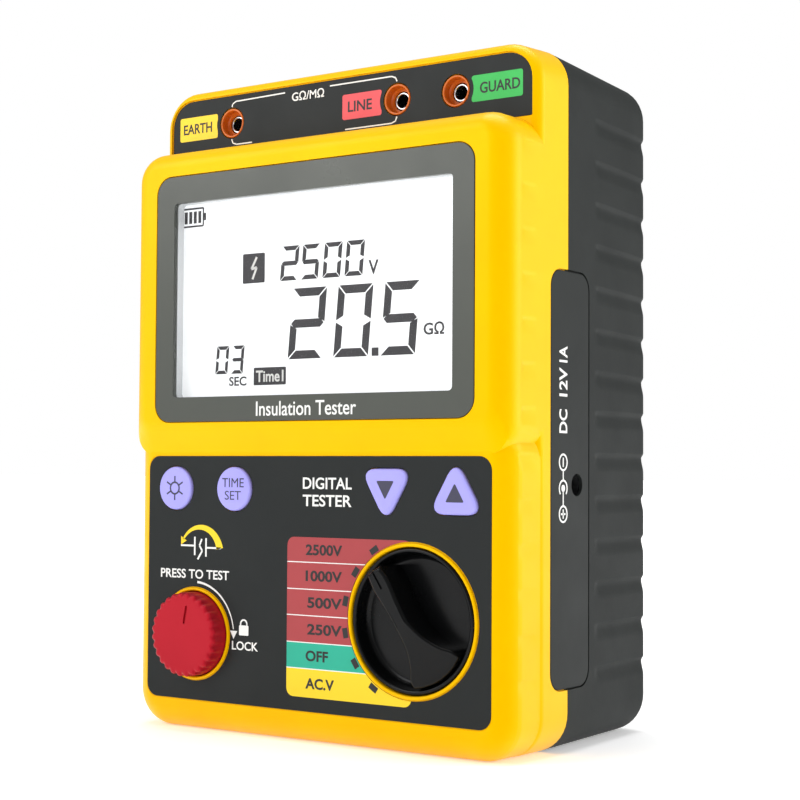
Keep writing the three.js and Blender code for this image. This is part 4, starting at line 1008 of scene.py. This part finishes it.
def printText(bm, text, left, right, low, high, bold=0.0, turn=0):
    # letters fitted between the given sides, whatever the typeface's own proportions
    curve = bpy.data.curves.new("lettering", "FONT")
    curve.body = text
    curve.offset = bold
    curve.resolution_u = 4
    curve.extrude = 0.5
    letters = bpy.data.objects.new("lettering", curve)
    bpy.context.scene.collection.objects.link(letters)
    graph = bpy.context.evaluated_depsgraph_get()
    mesh = bpy.data.meshes.new_from_object(letters.evaluated_get(graph))
    bpy.data.objects.remove(letters)
    start = len(bm.verts)
    bm.from_mesh(mesh)
    bm.verts.ensure_lookup_table()
    verts = bm.verts[start:]
    bpy.data.meshes.remove(mesh)
    if turn:
        bmesh.ops.rotate(bm, verts=verts, cent=(0, 0, 0), matrix=Matrix.Rotation(math.radians(turn), 3, "Z"))
    lows = [min(v.co[k] for v in verts) for k in (0, 1, 2)]
    highs = [max(v.co[k] for v in verts) for k in (0, 1, 2)]
    wide, tall = (right - left) / (highs[0] - lows[0]), (high - low) / (highs[1] - lows[1])
    for v in verts:
        v.co = (left + (v.co.x - lows[0]) * wide, low + (v.co.y - lows[1]) * tall,
                0 if v.co.z < 0 else inkThickness)


def printBar(bm, x0, y0, x1, y1, width):
    # a straight line of ink
    length = math.hypot(x1 - x0, y1 - y0)
    verts = bmesh.ops.create_grid(bm, x_segments=1, y_segments=1, size=0.5)["verts"]
    bmesh.ops.scale(bm, vec=(length, width, 1), verts=verts)
    bmesh.ops.rotate(bm, verts=verts, cent=(0, 0, 0),
                     matrix=Matrix.Rotation(math.atan2(y1 - y0, x1 - x0), 3, "Z"))
    bmesh.ops.translate(bm, verts=verts, vec=((x0 + x1) / 2, (y0 + y1) / 2, 0))
    printShape(bm, list(verts[0].link_faces))


def printLine(bm, points, width):
    for (x0, y0), (x1, y1) in zip(points, points[1:]):
        printBar(bm, x0, y0, x1, y1, width)


def printArc(bm, x, y, inner, outer, start, end, steps=24, innerEnd=None, outerEnd=None):
    # a swept band of ink; its width may change on the way
    first = [bm.verts.new((x + radius, y, 0)) for radius in (inner, outer)]
    edge = bm.edges.new(first)
    bmesh.ops.rotate(bm, verts=first, cent=(x, y, 0), matrix=Matrix.Rotation(math.radians(start), 3, "Z"))
    before = set(bm.faces)
    full = abs(end - start) >= 360
    bmesh.ops.spin(bm, geom=first + [edge], cent=(x, y, 0), axis=(0, 0, 1), angle=math.radians(end - start),
                   steps=steps, use_merge=full, use_duplicate=False)
    faces = [f for f in bm.faces if f not in before]
    if innerEnd is not None:
        for v in {v for f in faces for v in f.verts}:
            away = Vector((v.co.x - x, v.co.y - y, 0))
            share = ((math.degrees(math.atan2(away.y, away.x)) - start) % 360) / (end - start)
            share = 0.0 if share > 1.5 or share < 0 else min(share, 1.0)
            near = abs(away.length - inner) < 1e-3
            want = inner + (innerEnd - inner) * share if near else outer + (outerEnd - outer) * share
            v.co = Vector((x, y, v.co.z)) + away.normalized() * want
    for f in faces:
        if f.normal.z < 0:
            f.normal_flip()
    printShape(bm, faces)


def printBlock(bm, left, right, low, high, lowRadius=0.0, highRadius=None):
    printShape(bm, roundedFace(bm, left, right, low, high, 0, lowRadius, highRadius, steps=5))


def printArrow(bm, x, y, size, turn):
    verts = bmesh.ops.create_circle(bm, cap_ends=True, radius=size, segments=3)["verts"]
    bmesh.ops.rotate(bm, verts=verts, cent=(0, 0, 0), matrix=Matrix.Rotation(math.radians(turn), 3, "Z"))
    bmesh.ops.translate(bm, verts=verts, vec=(x, y, 0))
    printShape(bm, list(verts[0].link_faces))


def inkPiece(name, draw, surface, body, material, view=frontView, cuts=()):
    # draw fills a flat mesh at z 0, which then sits half sunk in the surface that carries it
    bm = bmesh.new()
    draw(bm)
    bmesh.ops.translate(bm, verts=bm.verts, vec=(0, 0, surface - inkThickness * 0.3))
    bmesh.ops.remove_doubles(bm, verts=bm.verts, dist=0.0004)
    bmesh.ops.recalc_face_normals(bm, faces=bm.faces)
    bmesh.ops.transform(bm, matrix=view, verts=bm.verts)
    if cuts:
        bm = carved(bm, *cuts)
    return addPiece(name, bm, body, material, weighted=False)


panelFront = -overlayBox["front"]
terminalFront = -terminalBox["front"]
plateFront = plateBox["right"]

legend = {"left": -7.5, "right": 36.5, "edges": [59.65, 52.4, 44.6, 37.0, 29.2, 21.7, 13.3],
          "divider": 0.27, "dividerShort": 8.0, "corner": 2.4, "cap": 3.15, "bold": 0.028,
          # each row's word with its left and right ends
          "words": [("2500V", -0.7, 12.4), ("1000V", -0.7, 12.4), ("500V", 0.0, 12.4), ("250V", 0.0, 12.4),
                    ("OFF", -0.5, 7.6), ("AC.V", -0.5, 9.8)]}


def legendRows(first, last):
    def draw(bm):
        edges, gap = legend["edges"], legend["divider"] / 2
        for k in range(first, last):
            low, high = edges[k + 1] + gap, edges[k] - (gap if k else 0)
            printBlock(bm, legend["left"], legend["right"], low, high, legend["corner"] if k == 5 else 0.0,
                       legend["corner"] if k == 0 else 0.0)
    return draw


def ringCut():
    # the legend stops at the dial's collar
    return ("DIFFERENCE", boreTool(*dial["centre"], dial["ring"] + clearance, 0, 8, 96))


def drawLegendDividers(bm):
    for edge in legend["edges"][1:-1]:
        printBar(bm, legend["left"], edge, legend["right"] - legend["dividerShort"], edge, legend["divider"])


def drawLegendWords(bm):
    edges = legend["edges"]
    for (word, left, right), high, low in zip(legend["words"], edges, edges[1:]):
        middle = (high + low) / 2
        printText(bm, word, left, right, middle - legend["cap"] / 2, middle + legend["cap"] / 2,
                  bold=legend["bold"])


tick = {"step": 22.5, "near": 0.6, "far": 2.4, "width": 2.9}


def drawTicks(bm):
    # one block beside each position of the dial, the first where its grip points at rest
    x, z = dial["centre"]
    near, far = dial["ring"] + tick["near"], dial["ring"] + tick["far"]
    for k in range(len(legend["words"])):
        angle = math.radians(90 + grip["turn"] + tick["step"] * k)
        printBar(bm, x + near * math.cos(angle), z + near * math.sin(angle),
                 x + far * math.cos(angle), z + far * math.sin(angle), tick["width"])


def drawPanelWords(bm):
    printText(bm, "PRESS TO TEST", -57.1, -29.7, 45.9, 48.7, bold=0.016)
    printText(bm, "LOCK", -28.3, -18.3, 25.4, 28.0, bold=0.016)
    printText(bm, "DIGITAL", -2.0, 15.6, 73.6, 77.0, bold=0.016)
    printText(bm, "TESTER", -2.0, 15.6, 68.6, 72.0, bold=0.016)
    # padlock
    printBlock(bm, -25.6, -22.0, 29.8, 32.8, 0.3)
    printArc(bm, -23.8, 33.2, 0.95, 1.45, 0, 180, 14)
    printLine(bm, [(-25.0, 32.7), (-25.0, 33.3)], 0.5)
    printLine(bm, [(-22.6, 32.7), (-22.6, 33.3)], 0.5)
    # auto-discharge sign: a capacitor with a spark across it
    printLine(bm, [(-49.0, 55.9), (-43.6, 55.9)], 0.55)
    printLine(bm, [(-38.6, 55.4), (-33.0, 55.4)], 0.55)
    printLine(bm, [(-43.4, 53.0), (-43.4, 58.6)], 0.6)
    printLine(bm, [(-38.9, 52.7), (-38.9, 58.3)], 0.6)
    printLine(bm, [(-40.6, 58.0), (-41.5, 56.0), (-40.4, 54.4), (-42.2, 51.8)], 0.6)
    # turn arrow round the test button
    x, z = test["centre"]
    printArc(bm, x, z, 15.5, 15.8, 8, 86, 24, 15.3, 16.0)
    printArrow(bm, x + 15.6, z + 0.9, 1.6, 180)


def drawDischargeArrow(bm):
    printArc(bm, -41.2, 53.6, 6.6, 9.2, 12, 148, 26, 7.7, 8.3)
    printArrow(bm, -48.2, 57.4, 1.5, 150)


def buildPanelPrint():
    inkPiece("legendRed", legendRows(0, 4), panelFront, "root", "redInk", cuts=[ringCut()])
    inkPiece("legendTeal", legendRows(4, 5), panelFront, "root", "tealInk", cuts=[ringCut()])
    inkPiece("legendYellow", legendRows(5, 6), panelFront, "root", "yellowInk",
             cuts=[ringCut()])
    inkPiece("legendDividers", drawLegendDividers, panelFront, "root", "whiteInk",
             cuts=[ringCut()])
    inkPiece("legendWords", drawLegendWords, panelFront + 0.04, "root", "darkInk")
    inkPiece("dialTicks", drawTicks, panelFront + 0.04, "root", "darkInk")
    inkPiece("panelWords", drawPanelWords, panelFront, "root", "whiteInk")
    inkPiece("dischargeArrow", drawDischargeArrow, panelFront, "root", "yellowInk")


terminalLabels = {
    "earth": {"word": "EARTH", "left": -63.7, "right": -48.0, "text": (-62.2, -50.4), "ink": "yellowInk"},
    "line": {"word": "LINE", "left": 0.95, "right": 15.3, "text": (3.0, 11.8), "ink": "roseInk"},
    "guard": {"word": "GUARD", "left": 46.65, "right": 63.5, "text": (49.4, 62.6), "ink": "greenInk"},
}
labelBand = {"low": 183.9, "high": 191.5, "corner": 0.7, "wordLow": 186.1, "wordHigh": 189.3, "cup": 6.1}


def buildTerminalPrint():
    for name, label in terminalLabels.items():
        x, z = middleOf(f"jack_shroud_{name}")
        cup = ("DIFFERENCE", boreTool(x, z, labelBand["cup"], 12, 20, 48))
        inkPiece(f"{name}Label", lambda bm: printBlock(bm, label["left"], label["right"], labelBand["low"],
                                                       labelBand["high"], labelBand["corner"]),
                 terminalFront, "root", label["ink"], cuts=[cup])

    def words(bm):
        for label in terminalLabels.values():
            printText(bm, label["word"], *label["text"], labelBand["wordLow"], labelBand["wordHigh"],
                      bold=0.016)
    inkPiece("terminalLabelWords", words, terminalFront + 0.04, "root", "darkInk")

    def frameLines(bm):
        printText(bm, "GΩ/MΩ", -18.3, -6.0, 191.9, 194.7, bold=0.012)
        earthX, lineX = middleOf("jack_shroud_earth")[0], middleOf("jack_shroud_line")[0]
        printLine(bm, [(earthX, 193.0), (earthX + 0.3, 193.9), (earthX + 1.6, 194.6), (-21.0, 194.9)], 0.4)
        printLine(bm, [(-3.8, 194.9), (lineX - 1.9, 194.9), (lineX - 0.5, 194.3), (lineX, 193.2)], 0.4)
        printLine(bm, [(earthX, 182.8), (earthX + 0.5, 181.5), (earthX + 2.0, 181.0), (-34.0, 181.0)], 0.4)
        printLine(bm, [(2.0, 181.0), (lineX - 2.0, 181.0), (lineX - 0.5, 181.5), (lineX, 182.8)], 0.4)
    inkPiece("terminalLines", frameLines, terminalFront, "root", "whiteInk")


def drawWindowWords(bm):
    printText(bm, "Insulation Tester", -17.9, 18.7, 95.0, 99.3, bold=0.008)


def drawSideWords(bm):
    # the supply label reads upwards
    printText(bm, "DC", 26.6, 31.2, 89.9, 96.6, bold=0.02, turn=90)
    printText(bm, "12V", 26.6, 31.2, 100.2, 108.3, bold=0.02, turn=90)
    printText(bm, "1A", 26.6, 31.2, 109.8, 114.4, bold=0.02, turn=90)
    for z in (67.2, 81.7):
        printArc(bm, 28.9, z, 1.95, 2.5, 0, 360, 30)
    printLine(bm, [(28.9, 80.4), (28.9, 83.0)], 0.55)  # minus, as it reads upwards
    printLine(bm, [(28.9, 65.9), (28.9, 68.5)], 0.55)
    printLine(bm, [(27.6, 67.2), (30.2, 67.2)], 0.55)
    printArc(bm, 28.9, 74.4, 1.95, 2.5, -45, 225, 24)
    printBlock(bm, 27.9, 29.9, 73.4, 75.4, 0.9)
    printLine(bm, [(28.9, 69.7), (28.9, 73.6)], 0.5)
    printLine(bm, [(28.9, 76.9), (28.9, 79.2)], 0.5)


keyMark = {"reach": 2.9, "corner": 0.3}  # the small triangles on the arrow keys


def buildKeyPrint():
    keyTop = {name: -nodeBox(name)["front"] for name in keyShapes}

    def sun(bm):
        x, z = keyShapes["backlight_key"]["x"], keyShapes["backlight_key"]["z"]
        printArc(bm, x, z, 1.5, 2.05, 0, 360, 28)
        for k in range(6):
            angle = (k + 0.5) * math.pi / 3
            printLine(bm, [(x + 2.0 * math.cos(angle), z + 2.0 * math.sin(angle)),
                           (x + 3.7 * math.cos(angle), z + 3.7 * math.sin(angle))], 0.5)
    inkPiece("backlightMark", sun, keyTop["backlight_key"], "backlight_button", "keyInk")

    def words(bm):
        x, z = keyShapes["time_key"]["x"], keyShapes["time_key"]["z"]
        printText(bm, "TIME", x - 4.2, x + 4.2, z + 0.5, z + 3.2)
        printText(bm, "SET", x - 3.1, x + 3.1, z - 3.3, z - 0.6)
    inkPiece("timeMark", words, keyTop["time_key"], "time_button", "keyInk")
    for name, mark in (("down_key", "downMark"), ("up_key", "upMark")):
        key = keyShapes[name]

        def triangle(bm):
            printShape(bm, arrowFace(bm, key["x"], key["z"] + key["drop"], key["up"], 0.0, 0, keyMark))
        inkPiece(mark, triangle, keyTop[name], key["body"], "keyInk")


buildPanelPrint()
buildTerminalPrint()
inkPiece("windowWords", drawWindowWords, -windowBox["front"], "root", "whiteInk")
inkPiece("sideWords", drawSideWords, plateFront, "root", "whiteInk", view=sideView)
buildKeyPrint()
print("printing done")


digitParts = {"0": "abcdef", "2": "abdeg", "3": "abcdg", "5": "acdfg"}


def printDigit(bm, digit, left, right, low, high, thick, lean=5.0, split=0.3):
    wide, tall = right - left, high - low
    half = tall / 2
    bars = {  # length, turn, middle, and how much the inner edge is cut at each end
        "a": (wide, 0, (wide / 2, tall), (1, 1)), "d": (wide, 180, (wide / 2, 0), (1, 1)),
        "f": (half, 90, (0, half * 1.5), (0.5, 1)), "e": (half, 90, (0, half / 2), (1, 0.5)),
        "b": (half, -90, (wide, half * 1.5), (1, 0.5)), "c": (half, -90, (wide, half / 2), (0.5, 1)),
    }
    made = []
    for part in digitParts[digit]:
        verts = bmesh.ops.create_grid(bm, x_segments=1, y_segments=1, size=0.5)["verts"]
        if part == "g":
            length = wide - split * 2
            bmesh.ops.scale(bm, vec=(length, thick, 1), verts=verts)
            before = set(bm.faces) - set(verts[0].link_faces)
            bmesh.ops.bevel(bm, geom=verts, offset=thick / 2 * 0.98, offset_type="OFFSET", segments=1,
                            profile=0.5, affect="VERTICES", material=-1)
            face = [f for f in bm.faces if f not in before]
            verts = list({v for f in face for v in f.verts})
            bmesh.ops.translate(bm, verts=verts, vec=(wide / 2, half, 0))
        else:
            length, turn, middle, cuts = bars[part]
            for v in verts:
                inner = v.co.y < 0
                x = v.co.x * (length - split * 2)
                if inner:
                    x += thick * cuts[0] if x < 0 else -thick * cuts[1]
                v.co = (x, -thick if inner else 0.0, 0)
            bmesh.ops.rotate(bm, verts=verts, cent=(0, 0, 0),
                             matrix=Matrix.Rotation(math.radians(turn), 3, "Z"))
            bmesh.ops.translate(bm, verts=verts, vec=(*middle, 0))
            face = list(verts[0].link_faces)
        for v in verts:
            v.co.x += v.co.y * math.tan(math.radians(lean)) - half * math.tan(math.radians(lean))
        bmesh.ops.translate(bm, verts=verts, vec=(left, low, 0))
        made += face
    for f in made:
        f.normal_update()
        printShape(bm, [f])


def drawReading(bm):
    # main reading, then the test voltage, then the timer
    for digit, left, right in (("2", -9.0, 3.6), ("0", 7.8, 20.2), ("5", 24.4, 36.4)):
        printDigit(bm, digit, left, right, 111.8, 132.7, 2.5)
    printBlock(bm, 20.6, 23.0, 111.8, 114.2)
    printText(bm, "GΩ", 38.4, 45.3, 117.1, 120.7, bold=0.02)
    for digit, left, right in (("2", -12.6, -6.2), ("5", -4.8, 1.5), ("0", 3.2, 9.6), ("0", 11.2, 17.6)):
        printDigit(bm, digit, left, right, 135.2, 145.5, 1.35, split=0.16)
    printText(bm, "V", 19.3, 22.8, 135.2, 139.4, bold=0.02)
    for digit, left, right in (("0", -37.6, -32.8), ("3", -31.4, -26.8)):
        printDigit(bm, digit, left, right, 108.1, 116.6, 1.1, split=0.14)
    printText(bm, "SEC", -32.4, -25.6, 104.4, 107.2, bold=0.02)
    # battery gauge
    printLine(bm, [(-51.8, 154.2), (-43.4, 154.2), (-43.4, 159.7), (-51.8, 159.7), (-51.8, 154.2)], 0.55)
    printBlock(bm, -43.2, -42.3, 155.8, 158.1)
    for k in range(4):
        printBlock(bm, -51.0 + k * 1.85, -49.8 + k * 1.85, 155.1, 158.8)


def drawReversed(bm):
    printBlock(bm, -27.4, -18.9, 135.2, 144.2, 0.4)
    printBlock(bm, -22.8, -10.5, 104.4, 109.7, 0.3)


def drawReversedWords(bm):
    printLine(bm, [(-22.0, 143.0), (-24.0, 139.5), (-22.0, 139.9), (-23.6, 136.4)], 0.75)
    printText(bm, "Time1", -21.9, -11.4, 105.3, 108.8, bold=0.02)


lcdFront = -nodeBox("lcd_glass")["front"]
inkPiece("lcdSegments", drawReading, lcdFront, "root", "segmentInk")
inkPiece("lcdBlocks", drawReversed, lcdFront, "root", "segmentInk")
inkPiece("lcdReversed", drawReversedWords, lcdFront + 0.04, "root", "whiteInk")
print("display drawn")


def finishNodes():
    # the pieces that keep their own mesh take the finish of their slot
    slots = {part["node"]: part["material_slot"] for part in frame["record"]["subparts"]}
    for name, node in frame["nodes"].items():
        if node.hide_render:
            continue
        node.data.materials.clear()
        node.data.materials.append(materials[slotFinish[slots[name]]])


finishNodes()
print("inner pieces finished")


studio = {
    "floor": 12.0, "fill": 0.45, "mirror": 0.24, "floorGlow": 0.3, "glowFrom": 0.2, "glowTo": 1.3,
    "lamps": {  # place, what it points at, size, power
        "keyLight": ((-0.75, -1.0, 0.75), (0, 0, 0.1), 0.9, 10.0),
        "sideLight": ((1.1, 0.55, 0.35), (0.05, 0, 0.1), 0.9, 9.5),
        "topLight": ((0.0, 0.1, 1.2), (0, 0, 0.1), 0.8, 8.5),
    },
}


def buildStudio():
    bm = bmesh.new()
    bmesh.ops.create_grid(bm, x_segments=4, y_segments=4, size=studio["floor"])
    mesh = bpy.data.meshes.new("floor")
    bm.to_mesh(mesh)
    bm.free()
    floor = bpy.data.objects.new("floor", mesh)
    bpy.context.scene.collection.objects.link(floor)
    smooth = {"size": 3.0, "strength": 0.05, "height": 0.02}
    # sheet of matt white paper: takes a soft shadow and hardly reflects
    mesh.materials.append(surfaceMaterial("paperFloor", "FFFFFF", "FCFCFC", 0.4, smooth, ior=1.45,
                                          mottle=300.0, shine=0.08))
    body = next(n for n in mesh.materials[0].node_tree.nodes if n.type == "BSDF_PRINCIPLED")
    body.inputs["Emission Color"].default_value = (1, 1, 1, 1)
    # the paper glows a little more with distance, so that its far edge meets the white behind it
    tree = mesh.materials[0].node_tree
    place = next(n for n in tree.nodes if n.type == "TEX_COORD")
    away = addNode(tree, "ShaderNodeVectorMath", links={0: place.outputs["Object"]}, operation="LENGTH")
    glow = addNode(tree, "ShaderNodeMapRange",
                   {"From Min": studio["glowFrom"], "From Max": studio["glowTo"],
                    "To Min": studio["floorGlow"], "To Max": 1.0}, {"Value": away.outputs["Value"]})
    tree.links.new(glow.outputs["Result"], body.inputs["Emission Strength"])
    # white behind the object, a weaker fill on it, and less still in its reflections, as in a tent with gaps
    world = bpy.data.worlds.new("studioWorld")
    world.use_nodes = True
    tree = world.node_tree
    ray = addNode(tree, "ShaderNodeLightPath")
    fill = addNode(tree, "ShaderNodeMix", {"A": studio["fill"], "B": studio["mirror"]},
                   {"Factor": ray.outputs["Is Glossy Ray"]})
    seen = addNode(tree, "ShaderNodeMix", {"B": 1.0},
                   {"Factor": ray.outputs["Is Camera Ray"], "A": fill.outputs["Result"]})
    tree.nodes["Background"].inputs["Color"].default_value = (1, 1, 1, 1)
    tree.links.new(seen.outputs["Result"], tree.nodes["Background"].inputs["Strength"])
    bpy.context.scene.world = world
    for name, (place, aim, size, power) in studio["lamps"].items():
        lamp = bpy.data.lights.new(name, "AREA")
        lamp.size = size
        lamp.energy = power
        thing = bpy.data.objects.new(name, lamp)
        thing.location = place
        thing.rotation_euler = (Vector(aim) - Vector(place)).to_track_quat("-Z", "Y").to_euler()
        bpy.context.scene.collection.objects.link(thing)
    bpy.context.scene.view_settings.view_transform = "Standard"


viewpoint = {"place": (0.30054, -0.42883, 0.07950), "yaw": -34.50, "pitch": 2.345, "roll": 0.324,
             "lens": 76.1, "sensor": 36.0}


def buildCamera():
    # standing low at the right-hand front corner, looking a little up
    yaw, pitch, roll = (math.radians(viewpoint[name]) for name in ("yaw", "pitch", "roll"))
    place = viewpoint["place"]
    ahead = Vector((math.sin(yaw) * math.cos(pitch), math.cos(yaw) * math.cos(pitch), math.sin(pitch)))
    level = Vector((math.cos(yaw), -math.sin(yaw), 0))
    upright = level.cross(ahead)
    right = level * math.cos(roll) + upright * math.sin(roll)
    up = upright * math.cos(roll) - level * math.sin(roll)
    lens = bpy.data.cameras.new("camera")
    lens.lens = viewpoint["lens"]
    lens.sensor_width = viewpoint["sensor"]
    lens.clip_start = 0.01
    camera = bpy.data.objects.new("camera", lens)
    camera.matrix_world = Matrix((*((right[k], up[k], -ahead[k], place[k]) for k in range(3)), (0, 0, 0, 1)))
    bpy.context.scene.collection.objects.link(camera)
    bpy.context.scene.camera = camera


buildStudio()
buildCamera()
print("studio and camera set")
